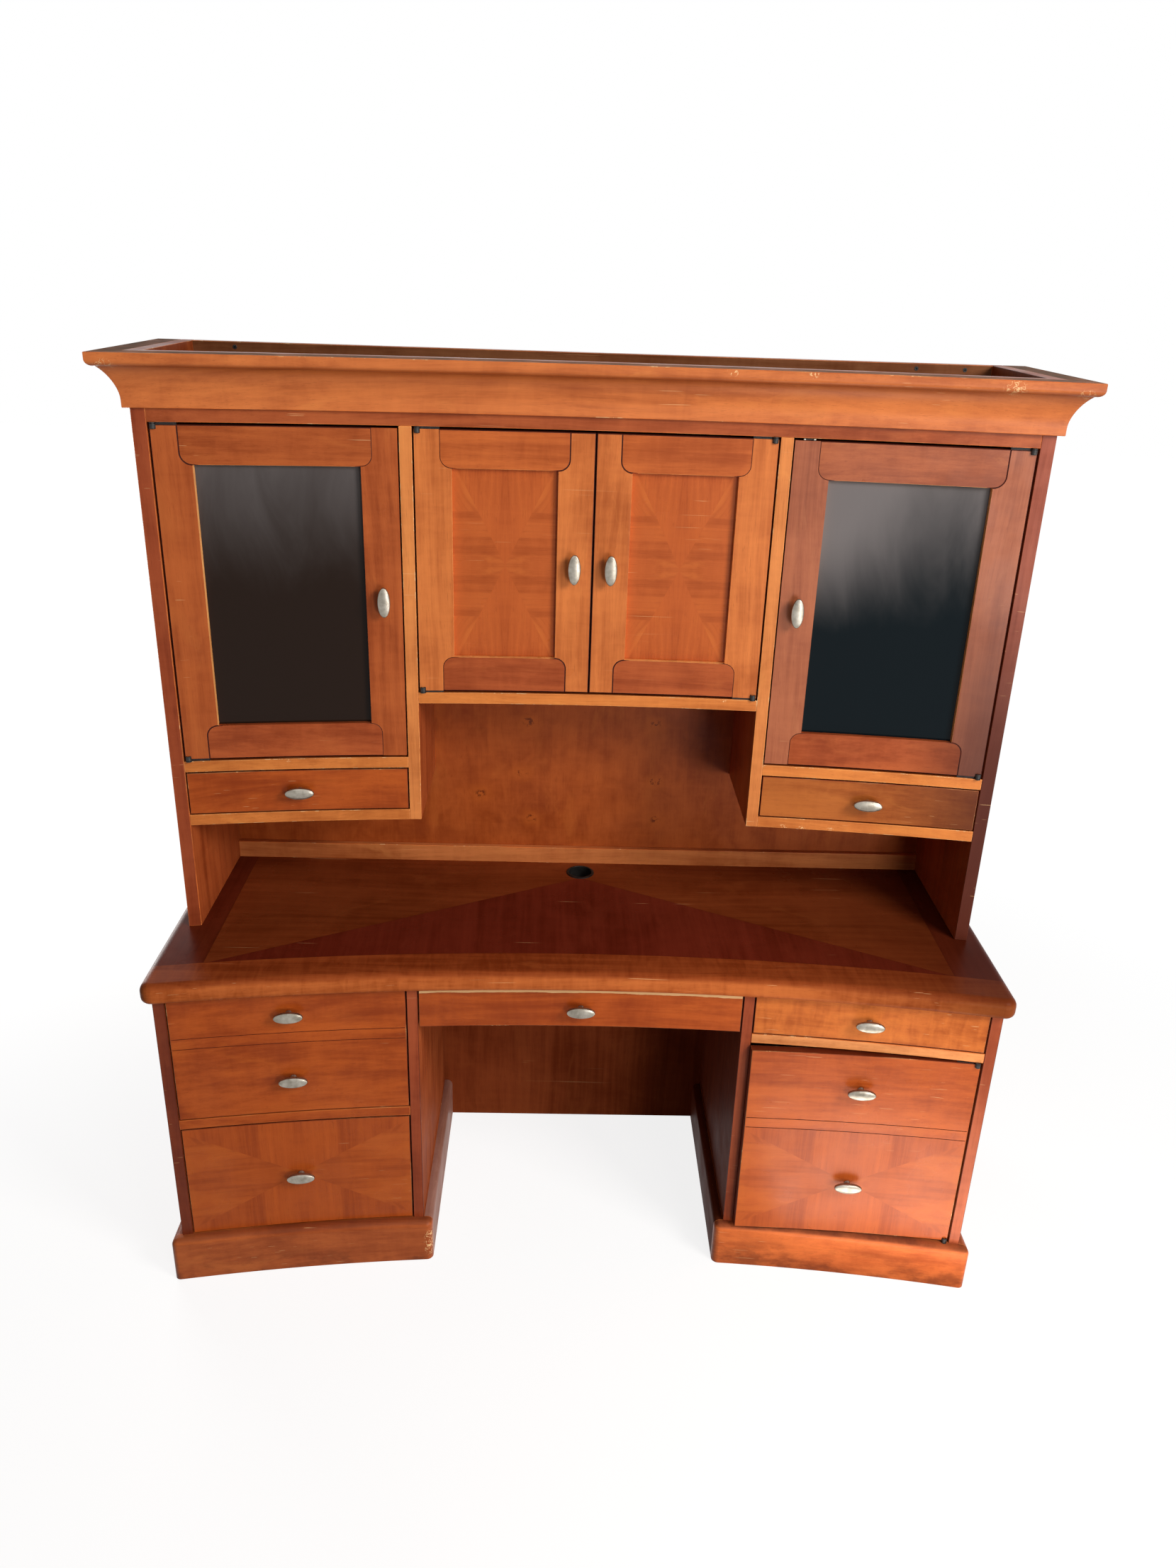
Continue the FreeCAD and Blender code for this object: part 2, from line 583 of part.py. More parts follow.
def kept_within(name, whole, corners):
    """The part of a moulding that lies inside a plan outline, for its mitred ends."""
    body = doc.addObject("PartDesign::Body", f"{name}_plan")
    pad = body.newObject("PartDesign::Pad", f"{name}_plan_pad")
    pad.Profile = outline(body, "XY_Plane", corners, {}, CROWN_LOW)
    bind(pad, Length="crown_height")
    body.Tip = pad
    mitred = doc.addObject("Part::Common", f"{name}_mitred")
    mitred.Base = whole
    mitred.Tool = body
    return mitred


def crown():
    """The crown: a curved length across the front, mitred to a straight return on each side."""
    outer = f"({HUTCH_OUT} + crown_projection)"
    inner_y = on_curve(HUTCH_RADIUS, HUTCH_OUT)
    outer_y = on_curve(f"({HUTCH_RADIUS} - crown_projection)", outer)

    def on_mitre(share, side=1):
        """Plan point on the mitre line: 0 at the hutch's corner and 1 at the crown's."""
        x = f"({side} * ({HUTCH_OUT} + {share} * crown_projection))"
        return x, f"({inner_y} + {share} * ({outer_y} - {inner_y}))"

    body = doc.addObject("PartDesign::Body", "crown_sweep")
    corners, bends = crown_profile(lambda out: f"({HUTCH_RADIUS} - {out})", mirror=True)
    turn = body.newObject("PartDesign::Revolution", "crown_turn")
    turn.Profile = outline(body, "YZ_Plane", corners, bends, "0")
    turn.ReferenceAxis = (turn.Profile[0], ["V_Axis"])
    turn.Midplane = True
    bind(turn, Angle=f"3 * asin({outer} / {HUTCH_RADIUS})")
    body.Tip = turn
    bind(body, Placement__Base__y=CURVE_Y, Placement__Base__z=CROWN_LOW)
    plan = [on_mitre(1.5, -1), on_mitre(1.5), on_mitre(-0.5), (on_mitre(-0.5)[0], BACK),
            (on_mitre(-0.5, -1)[0], BACK), on_mitre(-0.5, -1)]
    node(kept_within("crown_front", body, plan), "crown_front")
    returns = []
    for side, word in ((-1, "left"), (1, "right")):
        body = doc.addObject("PartDesign::Body", f"{word}_crown_run")
        corners, bends = crown_profile(lambda out: f"({side} * ({HUTCH_OUT} + {out}))", mirror=side < 0)
        run = body.newObject("PartDesign::Pad", f"{word}_crown_pad")
        run.Profile = outline(body, "XZ_Plane", corners, bends, f"-{BACK}")
        bind(run, Length=f"{BACK} - {outer_y} + crown_projection")
        body.Tip = run
        bind(body, Placement__Base__z=CROWN_LOW)
        near_end, far_end = on_mitre(-0.5, side), on_mitre(1.5, side)
        plan = [near_end, far_end, (far_end[0], BACK), (near_end[0], BACK)]
        returns.append(kept_within(f"{word}_crown", body, plan))
    node(group("crown_return_pair", *returns), "crown_returns")


def swing(thing, x, y, angle):
    """Turn a piece about an upright axis through x and y."""
    bind(thing, Placement__Rotation__Angle=angle,
         Placement__Base__x=f"({x}) - ({x}) * cos({angle}) + ({y}) * sin({angle})",
         Placement__Base__y=f"({y}) - ({x}) * sin({angle}) - ({y}) * cos({angle})")


def pivot_plate(name, hand, x, y, tilt, low):
    """A flat plate with a round nose at the pivot axis. hand is the way the door runs from it."""
    nose = cylinder(f"{name}_nose", "pivot_nose", "0", "pivot_plate")
    limits = mirrored(hand, "0", "pivot_length")
    tail = square_board(f"{name}_tail", *limits, "pivot_nose / 2", "pivot_nose / 2 + pivot_width",
                        "0", "pivot_plate")
    plate = joined(f"{name}_plate", nose, tail)
    bind(plate, Placement__Base__x=x, Placement__Base__y=y, Placement__Base__z=low,
         Placement__Rotation__Angle=tilt)
    return plate


def door_pivots(word, hand, x, radius, low, high):
    """Plates and pins on the case and leaves on the door, above and below it."""
    y = on_curve(radius, x)
    tilt = f"asin(-({x}) / ({radius}))"
    plates = []
    leaves = []
    case_low = f"({low} - pivot_gap)"
    case_high = f"({high} + pivot_gap)"
    for end in ("lower", "upper"):
        lower = end == "lower"
        plate_low = case_low if lower else f"({case_high} - pivot_plate)"
        plate = pivot_plate(f"{word}_{end}_case", hand, x, y, tilt, plate_low)
        pin_limits = (case_low, f"({low} - pivot_tip)") if lower else (f"({high} + pivot_tip)", case_high)
        pin = cylinder(f"{word}_{end}_pin", "pivot_pin", *pin_limits, x=x, y=y)
        plates.append(joined(f"{word}_{end}_pivot", plate, pin))
        leaf_low = f"({low} - pivot_plate)" if lower else high
        leaf = doc.addObject("Part::Cut", f"{word}_{end}_leaf")
        leaf.Base = pivot_plate(f"{word}_{end}_door", hand, x, y, tilt, leaf_low)
        leaf.Tool = cylinder(f"{word}_{end}_eye", "pivot_pin + pivot_play", case_low, case_high,
                             x=x, y=y)
        leaves.append(leaf)
    node(group(f"{word}_leaves", *leaves), f"{word}_pivots")
    return plates


def swing_relief(radius, pivot_x, free_x):
    """How far a door's free edge is set in at its rear face, so that it swings clear of the case."""
    rise = f"({on_curve(radius, free_x)} - {on_curve(radius, pivot_x)})"
    return f"(front_thickness * ({rise} + front_thickness) / abs({free_x} - {pivot_x}))"


def framed_door(word, left, right, low, high, hand, filling, thickness):
    """Stiles and rails round a pane or panel. hand is 1 for a door hinged on its left, or -1.

    Returns the plates on the case.
    """
    front = arc(HUTCH_RADIUS)
    back = arc(f"({HUTCH_RADIUS} + front_thickness)")
    lip_back = arc(f"({HUTCH_RADIUS} + rabbet_lip)")
    hinge_edge, free_edge = (left, right)[::hand]
    pivot_x = f"({hinge_edge} + {hand} * pivot_inset)"
    set_in = swing_relief(HUTCH_RADIUS, pivot_x, free_edge)
    step = "(stile_width - rabbet_width)"
    stiles = []
    for name, edge, way, relief in (("hinge", hinge_edge, hand, ("0", "0")),
                                    ("free", free_edge, -hand, (set_in, "0")[::-hand])):
        rabbet = f"({edge} + {way} * {step})"
        opening = f"({edge} + {way} * stile_width)"
        solid_part = (edge, rabbet)[::way]
        lip_part = (rabbet, opening)[::way]
        stiles.append(board(f"{word}_{name}_stile", (*solid_part, front, back, low, high, relief),
                            (*lip_part, front, lip_back, low, high)))
    limits = (f"({left} + stile_width)", f"({right} - stile_width)")
    opening_low = f"({low} + door_rail)"
    opening_high = f"({high} - door_rail)"
    foot = f"({opening_low} - rabbet_width)"
    head = f"({opening_high} + rabbet_width)"
    rails = (board(f"{word}_lower_rail", (*limits, front, back, low, foot),
                   (*limits, front, lip_back, foot, opening_low)),
             board(f"{word}_upper_rail", (*limits, front, back, head, high),
                   (*limits, front, lip_back, opening_high, head)))
    node(group(f"{word}_frame_pieces", *stiles, *rails), f"{word}_frame")
    pane_front = f"({HUTCH_RADIUS} + rabbet_lip + pane_play)"
    pane = (f"({left} + {step} + pane_play)", f"({right} - {step} - pane_play)", arc(pane_front),
            arc(f"({pane_front} + {thickness})"), f"({foot} + pane_play)", f"({head} - pane_play)")
    node(board(f"{word}_filling", pane), f"{word}_{filling}")
    knob_x = f"({free_edge} - {hand} * stile_width / 2)"
    node(knob(f"{word}_handle", knob_x, midway(low, high), HUTCH_RADIUS, upright=True), f"{word}_knob")
    return door_pivots(word, hand, pivot_x, HUTCH_RADIUS, low, high)


def pedestal_door():
    """A slab scored like two drawer fronts, standing a little ajar. Returns the case's plates."""
    left = f"({CASE_IN} + reveal)"
    right = f"({CASE_OUT} - hinge_gap)"
    score_low = f"({LEFT_RAIL_LOW} - reveal / 2)"
    score_high = f"({LEFT_RAIL_HIGH} + reveal / 2)"
    pivot_x = f"({right} - pivot_inset)"
    relief = (swing_relief(PEDESTAL_RADIUS, pivot_x, left), "0")
    blocks = scored_front(left, right, PEDESTAL_RADIUS, DOOR_LOW, DOOR_HIGH,
                          (score_low, score_high), relief)
    slab = node(board("pedestal_slab", *blocks), "pedestal_door_slab")
    middle = midway(CASE_IN, CASE_OUT)
    levels = (midway(DOOR_LOW, score_low), midway(score_high, DOOR_HIGH))
    knobs = [knob(f"pedestal_door_knob_{index}", middle, level, PEDESTAL_RADIUS, upright=False)
             for index, level in enumerate(levels)]
    pair = node(group("pedestal_knob_pair", *knobs), "pedestal_door_knobs")
    plates = door_pivots("pedestal_door", -1, pivot_x, PEDESTAL_RADIUS, DOOR_LOW, DOOR_HIGH)
    for piece in (slab, pair, NODES["pedestal_door_pivots"]):
        swing(piece, pivot_x, on_curve(PEDESTAL_RADIUS, pivot_x), "door_ajar")
    return plates


def doors():
    """Four hutch doors, the pedestal door, and the plates on the case that carry them."""
    plates = pedestal_door()
    for side, word in ((-1, "left"), (1, "right")):
        limits = mirrored(side, f"({DIVIDER_OUT} + reveal)", f"({HUTCH_IN} - hinge_gap)")
        plates += framed_door(f"{word}_glass_door", *limits, GLASS_DOOR_LOW, HUTCH_DOOR_HIGH, -side,
                              "pane", "glass_thickness")
        limits = mirrored(side, "(reveal / 2)", f"({BAY_HALF} - hinge_gap)")
        plates += framed_door(f"{word}_centre_door", *limits, CENTRE_DOOR_LOW, HUTCH_DOOR_HIGH, -side,
                              "panel", "panel_thickness")
    node(group("pivot_plate_set", *plates), "pivot_plates")


desk_top()
cable_grommet()
pedestal_cases()
plinth(-1, "left")
plinth(1, "right")
drawers()
hutch_case()
crown()
doors()
doc.recompute()

failed = [thing.Name for thing in doc.Objects if {"Invalid", "Error"} & set(thing.State)]
failed += [label for label, thing in NODES.items() if thing.Shape.isNull() or not thing.Shape.isValid()]
if failed:
    raise RuntimeError(f"failed: {failed}")

os.makedirs("parts", exist_ok=True)
for label, thing in NODES.items():
    thing.Shape.exportStep(f"parts/{label}.step")
    print(f"{label}: {len(thing.Shape.Solids)} solids, {thing.Shape.Volume / 1000:.1f} cm3")
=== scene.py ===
import math
import bmesh
import bpy
from mathutils import Matrix, Vector


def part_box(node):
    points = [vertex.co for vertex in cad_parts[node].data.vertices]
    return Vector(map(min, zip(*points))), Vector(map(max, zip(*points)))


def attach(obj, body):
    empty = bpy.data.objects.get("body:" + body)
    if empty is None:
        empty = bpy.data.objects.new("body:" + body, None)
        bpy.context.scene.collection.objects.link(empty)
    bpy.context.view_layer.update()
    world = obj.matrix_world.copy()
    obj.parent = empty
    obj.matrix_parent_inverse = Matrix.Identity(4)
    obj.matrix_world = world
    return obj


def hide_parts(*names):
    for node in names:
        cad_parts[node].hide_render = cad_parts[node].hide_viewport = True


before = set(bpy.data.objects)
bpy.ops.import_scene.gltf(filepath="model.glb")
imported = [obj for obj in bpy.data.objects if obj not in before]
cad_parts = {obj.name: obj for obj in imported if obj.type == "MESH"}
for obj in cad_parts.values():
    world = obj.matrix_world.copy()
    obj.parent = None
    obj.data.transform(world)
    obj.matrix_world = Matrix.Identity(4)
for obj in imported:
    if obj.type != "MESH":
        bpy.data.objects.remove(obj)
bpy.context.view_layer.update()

# Sizes in metres. Every front lies on an arc about one upright axis in front of the desk.
BACK = 0.304
DESK_HALF = 0.889
TOP_RADIUS = 4.9
AXIS_Y = -BACK - math.sqrt(TOP_RADIUS ** 2 - DESK_HALF ** 2)
NOSE_REACH = 0.0206
PEDESTAL_RADIUS = TOP_RADIUS + NOSE_REACH
HUTCH_RADIUS = TOP_RADIUS + 0.239
FRONT_THICKNESS = 0.02
CASE_BACK = 0.288
PANEL_FACE = 0.296
PANEL_MIDDLE = PANEL_FACE + 0.004
RAIL_FACE = 0.282

# Steps, easing and tolerances of the meshes, and the angles and facing shares that pick their parts
CURVE_STEP = 0.05
EASE = 0.0012
TOUCH = 1e-4
LEVEL_GAP = 1e-5
FLUSH = 1e-6
CUT_GAP = 1e-7
SHARP_ANGLE = 1.2
SMOOTH_ANGLE = math.radians(38)
QUARTER_TURN = math.radians(90)
FRONT_FACING = 0.9
RIM_FACING = 0.3
NORMAL_WEIGHT = 80


def on_arc(radius):
    """Y at x on a front's arc."""
    return lambda x: AXIS_Y + math.sqrt(radius ** 2 - x ** 2)


def straight(y):
    """Y at x on a flat back."""
    return lambda x: y


hutch_front = on_arc(HUTCH_RADIUS)
pedestal_front = on_arc(PEDESTAL_RADIUS)

# Desk
DESK_HEIGHT = 0.765
TOP_UNDER = 0.721
PEDESTAL_IN = 0.342
CASE_IN = 0.3645
CASE_OUT = 0.8459
PEDESTAL_OUT = 0.8684
PLINTH_IN = PEDESTAL_IN - NOSE_REACH
PLINTH_HEIGHT = 0.1087
PLINTH_ROUND = 0.014
PLINTH_FOOT_ROUND = 0.005
PEDESTAL_RAIL_LOWS = (0.3952, 0.599)
PEDESTAL_RAIL_HEIGHT = 0.023
PEDESTAL_RAIL_DEPTH = 0.08
GROMMET_INSET = 0.07
GROMMET_RIM = 0.7675

# Inlay of the desk top, heights at which its nose and underside begin, and where painted shade darkens its
# right end
FIELD_RADIUS = TOP_RADIUS + 0.083
FIELD_HALF = 0.782
TRIANGLE_TIP = 0.205
TRIANGLE_BASE = -0.200
TRIANGLE_HALF = 0.773
SEAM = 0.0004
SEAM_LINE = (0.0003, 0.0012)
NOSE_LEVELS = (0.752, 0.762)
UNDER_LEVELS = (0.7215, 0.7245)
SHADED_ENDS = ((0.3, 0.8), (0.7, 0.88))

# Hutch, with the limits of the open bay where the back panel shows, outside which shade is painted on the
# back panel, and where shade is painted on its right end
HUTCH_IN = 0.8265
HUTCH_OUT = 0.8525
BAY_HALF = 0.3498
DIVIDER_OUT = 0.3744
DIVIDER_MIDDLE = 0.362
BAY_CEILING = 1.28
DRAWER_FLOOR = 1.017
FRIEZE_THICKNESS = 0.022
CLEAT_HEIGHT = 0.041
TOP_RAIL_LOW = 1.8395
PAINTED_SHADE_REACH = (0.62, 0.84)
PAINTED_SHADE_LEVELS = (1.15, 1.75)

# Crown: the corners of its section are distances out from the hutch and up from its foot
CROWN_LOW = 1.8468
CROWN_HIGH = 1.9444
CROWN_HEIGHT = CROWN_HIGH - CROWN_LOW
CROWN_OUT = 0.05
BAND_OUT = 0.010
BAND_HEIGHT = 0.012
COVE_CORNER = (BAND_OUT, 0.0498)
COVE_TANGENT = 0.0357
LIP_START = 0.037
LIP_HEIGHT = 0.0732
LIP_RADIUS = 0.012
CROWN_SWEEP = math.radians(11)
CROWN_EASE = 0.0015
MITRE_SPARE = 0.02

# Doors and drawers. A veneer's cross is the slope of its arms and the height of its corner leaves.
STILE = 0.07
STILE_SHOULDER = 0.048
SHOULDER_ROUND = STILE - STILE_SHOULDER - 0.0001
DOOR_RAIL = 0.072
JOINT_EASE = 0.0014
OPENING_ROUND = 0.003
PIVOT_INSET = 0.0065
RING_IN = 0.0027
RING_OUT = 0.0058
RING_EASE = 0.0008
RING_HEIGHT = 0.009
RING_GAP = 0.0002
SCORE_HALF = 0.0008
SCORE_DEPTH = 0.0011
SCORE_SLOPE = 0.0002
LEFT_SCORES = (0.59775, 0.62325)
DOOR_SCORES = (0.39395, 0.41945)
DOOR_LEFT = 0.367
DOOR_RIGHT = 0.8424
DOOR_AJAR = math.radians(2.6)
DOOR_PIVOT_X = DOOR_RIGHT - PIVOT_INSET
DOOR_PIVOT = (DOOR_PIVOT_X, pedestal_front(DOOR_PIVOT_X), 0)
RUBBED_LEVEL = 0.7105
PANEL_CROSS = (2.0, 0.105)
FRONT_CROSS = (0.55, 0.1)

# Small fittings. Profiles are radius and height; the knob's radius is a share of its half width.
KNOB_HALF_LONG = 0.030
KNOB_HALF_SHORT = 0.0125
KNOB_PROFILE = [
    (0, 0.0240), (0.45, 0.0237), (0.72, 0.0230), (0.85, 0.0223), (0.905, 0.0217), (0.925, 0.0217),
    (0.965, 0.0212), (0.99, 0.0202), (1.0, 0.0186), (1.0, 0.0166), (0.985, 0.0150), (0.93, 0.0138),
    (0.74, 0.0128), (0.40, 0.0122), (0, 0.0120),
]
NECK_PROFILE = [
    (0, 0.0135), (0.0058, 0.0132), (0.0052, 0.0080), (0.0054, 0.0040), (0.0068, 0.0018),
    (0.0070, 0.0002), (0, 0.0002),
]
SCREW_PROFILE = [
    (0, 0), (0.0016, 0), (0.0016, 0.0006), (0.0040, 0.0006), (0.0045, 0.0001), (0.0045, -0.001),
    (0, -0.001),
]
GROMMET_PROFILE = [
    (0.027, TOP_UNDER), (0.027, GROMMET_RIM - 0.0012), (0.0277, GROMMET_RIM - 0.0003), (0.029, GROMMET_RIM),
    (0.0316, GROMMET_RIM - 0.0003), (0.0328, GROMMET_RIM - 0.0012), (0.033, DESK_HEIGHT),
    (0.030, DESK_HEIGHT), (0.030, TOP_UNDER), (0.027, TOP_UNDER),
]
SCREW_LEVEL = 1.934
SCREW_PLACES = (-0.74, 0.667, 0.769)
CATCH_MIDDLE = 0.404
CATCH_HALF = 0.012
CATCH_LEVELS = (1.8174, 1.8211)
CATCH_DEPTH = 0.011
CATCH_SETBACK = 0.003
CATCH_EASE = 0.0006
TIP_REACH = 0.0095
TIP_HALF = 0.0022
TIP_INSET = 0.0004
TIP_DEPTH = 0.004
TIP_SETBACK = 0.0008
TIP_EASE = 0.0008


# Colours

def shade(red, green, blue):
    """Linear colour from the 0 to 255 values that a colour picker shows."""
    linear = []
    for value in (red, green, blue):
        share = value / 255
        linear.append(share / 12.92 if share <= 0.04045 else ((share + 0.055) / 1.055) ** 2.4)
    return (*linear, 1)


def tinted(colour, red, green, blue):
    """A colour with each channel scaled."""
    return (colour[0] * red, colour[1] * green, colour[2] * blue, 1)


WHITE = (1, 1, 1, 1)
BARE_WOOD = shade(234, 186, 132)
# Dark glaze of joints and seams, also laid on as painted shade at the right ends of the top and the hutch
GLAZE_AND_SHADE = shade(66, 22, 9)
TOP_CENTRE = shade(104, 36, 21)
TOP_WING = shade(120, 54, 24)
TOP_BORDER = shade(100, 38, 20)
TOP_BAND = shade(146, 68, 31)
# Lighter nose of the top: a painted highlight along its rounded front
TOP_NOSE_HIGHLIGHT = shade(178, 92, 45)
DUST = shade(94, 93, 84)
# Dark tint for the plinths' upper faces: grime and painted shade
GRIME_AND_SHADE = shade(92, 46, 32)
RED_CHERRY = shade(168, 76, 27)
PANEL_CHERRY = shade(178, 86, 38)
WARM_CHERRY = shade(184, 92, 42)
BAY_CHERRY = shade(158, 75, 30)
HONEY = shade(208, 125, 66)

# Strength of reflections: low on lacquer, where a white studio would haze the wood
PLAIN_SHEEN = 0.5
SHEEN = 0.16
DULL_SHEEN = 0.03
GLASS_IOR = 1.2

# Where the panes' painted reflection and dust grow upwards, change from left to right, and thin at the right
# end
REFLECTION_LEVELS = (1.32, 1.8)
REFLECTION_MIDDLE = (-0.2, 0.2)
REFLECTION_END = (0.46, 0.66)


# Material building blocks

class Nodes:
    """A node tree under construction: short ways to add and link nodes."""

    def __init__(self, tree):
        self.tree = tree

    def feed(self, socket, value):
        """Link a socket to another, or set it to a plain value."""
        if isinstance(value, bpy.types.NodeSocket):
            self.tree.links.new(value, socket)
        else:
            socket.default_value = value

    def node(self, kind, sockets=(), **settings):
        """Add a node with its settings. sockets holds names or numbers of sockets and what feeds them."""
        added = self.tree.nodes.new(kind)
        for setting, value in settings.items():
            setattr(added, setting, value)
        for socket, value in dict(sockets).items():
            self.feed(added.inputs[socket], value)
        return added

    def maths(self, operation, *values):
        return self.node("ShaderNodeMath", enumerate(values), operation=operation).outputs[0]

    def times(self, first, second):
        return self.maths("MULTIPLY", first, second)

    def minus(self, first, second):
        return self.maths("SUBTRACT", first, second)

    def plus(self, base, value, weight):
        """A base with a weighted value added."""
        return self.maths("MULTIPLY_ADD", value, weight, base)

    def gap(self, value, line=0.0):
        """How far a value is from a line, on either side."""
        return self.maths("ABSOLUTE", self.minus(value, line))

    def hypotenuse(self, first, second):
        """Length across two sides that are square to each other."""
        return self.maths("SQRT", self.plus(self.times(second, second), first, first))

    def between(self, value, low, high, to_low=0.0, to_high=1.0):
        """Map a value from one range to another, clamped and eased."""
        sockets = {"Value": value, "From Min": low, "From Max": high, "To Min": to_low, "To Max": to_high}
        return self.node("ShaderNodeMapRange", sockets, interpolation_type="SMOOTHSTEP").outputs["Result"]

    def past(self, value, line=0.0):
        """0 before a line and 1 beyond it, with a fine seam between."""
        return self.between(value, line - SEAM, line + SEAM)

    def axes(self, vector):
        """X, Y and Z of a vector."""
        return self.node("ShaderNodeSeparateXYZ", {0: vector}).outputs

    def mapped(self, vector, scale=(1, 1, 1), turn=(0, 0, 0), shift=(0, 0, 0)):
        sockets = {"Vector": vector, "Scale": scale, "Rotation": turn, "Location": shift}
        return self.node("ShaderNodeMapping", sockets).outputs["Vector"]

    def noise(self, vector, scale, detail=3.0, rough=0.5, twist=0.0):
        """Noise at one scale, or at a scale for each axis."""
        if isinstance(scale, tuple):
            vector = self.mapped(vector, scale)
            scale = 1.0
        sockets = {"Vector": vector, "Scale": scale, "Detail": detail, "Roughness": rough,
                   "Distortion": twist}
        return self.node("ShaderNodeTexNoise", sockets).outputs["Fac"]

    def blend(self, share, first, second, kind="MIX"):
        added = self.node("ShaderNodeMix", {"Factor": share}, data_type="RGBA", blend_type=kind)
        colours = [socket for socket in added.inputs if socket.type == "RGBA"]
        self.feed(colours[0], first)
        self.feed(colours[1], second)
        return [socket for socket in added.outputs if socket.type == "RGBA"][0]

    def ramp(self, value, stops):
        added = self.node("ShaderNodeValToRGB", {"Fac": value})
        elements = added.color_ramp.elements
        while len(elements) < len(stops):
            elements.new(0.5)
        for element, (position, colour) in zip(elements, stops):
            element.position = position
            element.color = colour
        return added.outputs["Color"]

    def bump(self, height, strength, distance):
        sockets = {"Height": height, "Strength": strength, "Distance": distance}
        return self.node("ShaderNodeBump", sockets).outputs["Normal"]


class Finish(Nodes):
    """A material under construction, on the object's own coordinates."""

    def __init__(self, name):
        self.material = bpy.data.materials.new(name)
        self.material.use_nodes = True
        super().__init__(self.material.node_tree)
        self.shader = self.tree.nodes["Principled BSDF"]
        self.place = self.node("ShaderNodeTexCoord").outputs["Object"]

    def coated(self, colour, rough, normal=None, sheen=PLAIN_SHEEN, metal=0.0):
        """Feed the shader, and give the finished material."""
        inputs = self.shader.inputs
        self.feed(inputs["Base Color"], colour)
        self.feed(inputs["Roughness"], rough)
        inputs["Specular IOR Level"].default_value = sheen
        inputs["Metallic"].default_value = metal
        if normal:
            self.feed(inputs["Normal"], normal)
        return self.material


# Wood, from the grain of one board to the inlaid top

ALONG = {"X": (0, 0, 0), "Y": (0, 0, QUARTER_TURN), "Z": (0, QUARTER_TURN, 0)}


def grain(finish, colour, figure=1.0, curl=0.07, mottle=0.0, turn=ALONG["X"], shift=(0, 0, 0), leaf=None):
    """Colour of one veneer leaf, whose grain runs along X unless it is turned. Returns colour and streaks.

    figure scales the contrast, curl is the share of ripples that cross the grain, and mottle that of
    round patches in place of streaks. leaf is the leaf's own place, if it isn't the object's.
    """
    vector = finish.mapped(leaf if leaf else finish.place, turn=turn, shift=shift)
    wander = finish.noise(vector, (0.7, 2.6, 2.6), 2)
    wavy = finish.node("ShaderNodeVectorMath", {0: wander, 1: (0, 0.12, 0.12), 2: vector},
                       operation="MULTIPLY_ADD")
    run = wavy.outputs["Vector"]
    rings = finish.noise(run, (0.9, 17, 17), 2, 0.5, 0.7)
    streaks = finish.noise(run, (2.6, 70, 70), 6, 0.72)
    lines = finish.noise(run, (22, 620, 620), 2, 0.6, 0.3)
    clouds = finish.noise(vector, 5.5, 4, 0.6, 0.4)
    ripple = finish.noise(run, (60, 14, 14), 3, 0.5, 0.8)
    blotches = finish.noise(run, (5, 14, 14), 4, 0.6, 0.9)
    tone = finish.times(rings, 0.27 - mottle / 2)
    tone = finish.plus(tone, streaks, 0.33 - mottle / 2)
    if mottle:
        patches = finish.noise(vector, (13, 22, 22), 4, 0.6, 0.6)
        tone = finish.plus(tone, patches, mottle)
    tone = finish.plus(tone, clouds, 0.4 - curl)
    tone = finish.plus(tone, ripple, curl)
    spread = 0.135 / figure
    body = finish.ramp(finish.between(tone, 0.5 - spread, 0.5 + spread), [
        (0.0, tinted(colour, 0.66, 0.54, 0.44)),
        (0.5, colour),
        (1.0, tinted(colour, 1.26, 1.38, 1.42)),
    ])
    pale = finish.between(blotches, 0.54, 0.72, 0.0, 0.5)
    body = finish.blend(pale, body, tinted(colour, 1.26, 1.5, 1.5))
    pores = finish.between(lines, 0.60, 0.72, 0.0, 0.36)
    body = finish.blend(pores, body, tinted(colour, 0.5, 0.38, 0.32))
    return body, streaks


def scuffs(finish, body, spots):
    """Bare scribbled scratches within a short reach of each spot (x, y, z, reach)."""
    field = finish.noise(finish.place, 95.0, 2, 0.5, 0.8)
    strokes = finish.between(finish.gap(field, 0.5), 0.016, 0.04, 1.0, 0.0)
    marks = 0.0
    for x, y, z, reach in spots:
        far = finish.node("ShaderNodeVectorMath", {0: finish.place, 1: (x, y, z)}, operation="DISTANCE")
        near = finish.between(far.outputs["Value"], reach * 0.5, reach, 1.0, 0.0)
        marks = finish.maths("MAXIMUM", marks, near)
    return finish.blend(finish.times(strokes, marks), body, BARE_WOOD)


def painted_corner_shade(finish, body, share):
    """Painted shade: the right end of the hutch darkened, more so towards the desk top."""
    x, _, z = finish.axes(finish.place)
    outward = finish.between(x, *PAINTED_SHADE_REACH)
    downward = finish.between(z, *PAINTED_SHADE_LEVELS, share, 0.0)
    return finish.blend(finish.times(outward, downward), body, GLAZE_AND_SHADE)


def knots(finish, body, spots):
    """Clusters of small knots, each in a pale halo, at spots (x, z) of the back panel."""
    x, _, z = finish.axes(finish.place)
    ragged = finish.noise(finish.place, 45.0, 4, 0.65)
    specks = finish.noise(finish.place, 130.0, 3, 0.6)
    for knot_x, knot_z in spots:
        across = finish.times(finish.minus(x, knot_x), 0.75)
        far = finish.hypotenuse(finish.minus(z, knot_z), across)
        far = finish.plus(far, ragged, 0.03)
        halo = finish.between(far, 0.016, 0.05, 0.55, 0.0)
        body = finish.blend(halo, body, tinted(BAY_CHERRY, 1.35, 1.5, 1.3))
        core = finish.between(far, 0.018, 0.028, 1.0, 0.0)
        dark = finish.times(core, finish.between(specks, 0.47, 0.58, 0.0, 0.85))
        body = finish.blend(dark, body, tinted(BAY_CHERRY, 0.3, 0.22, 0.2))
    return body


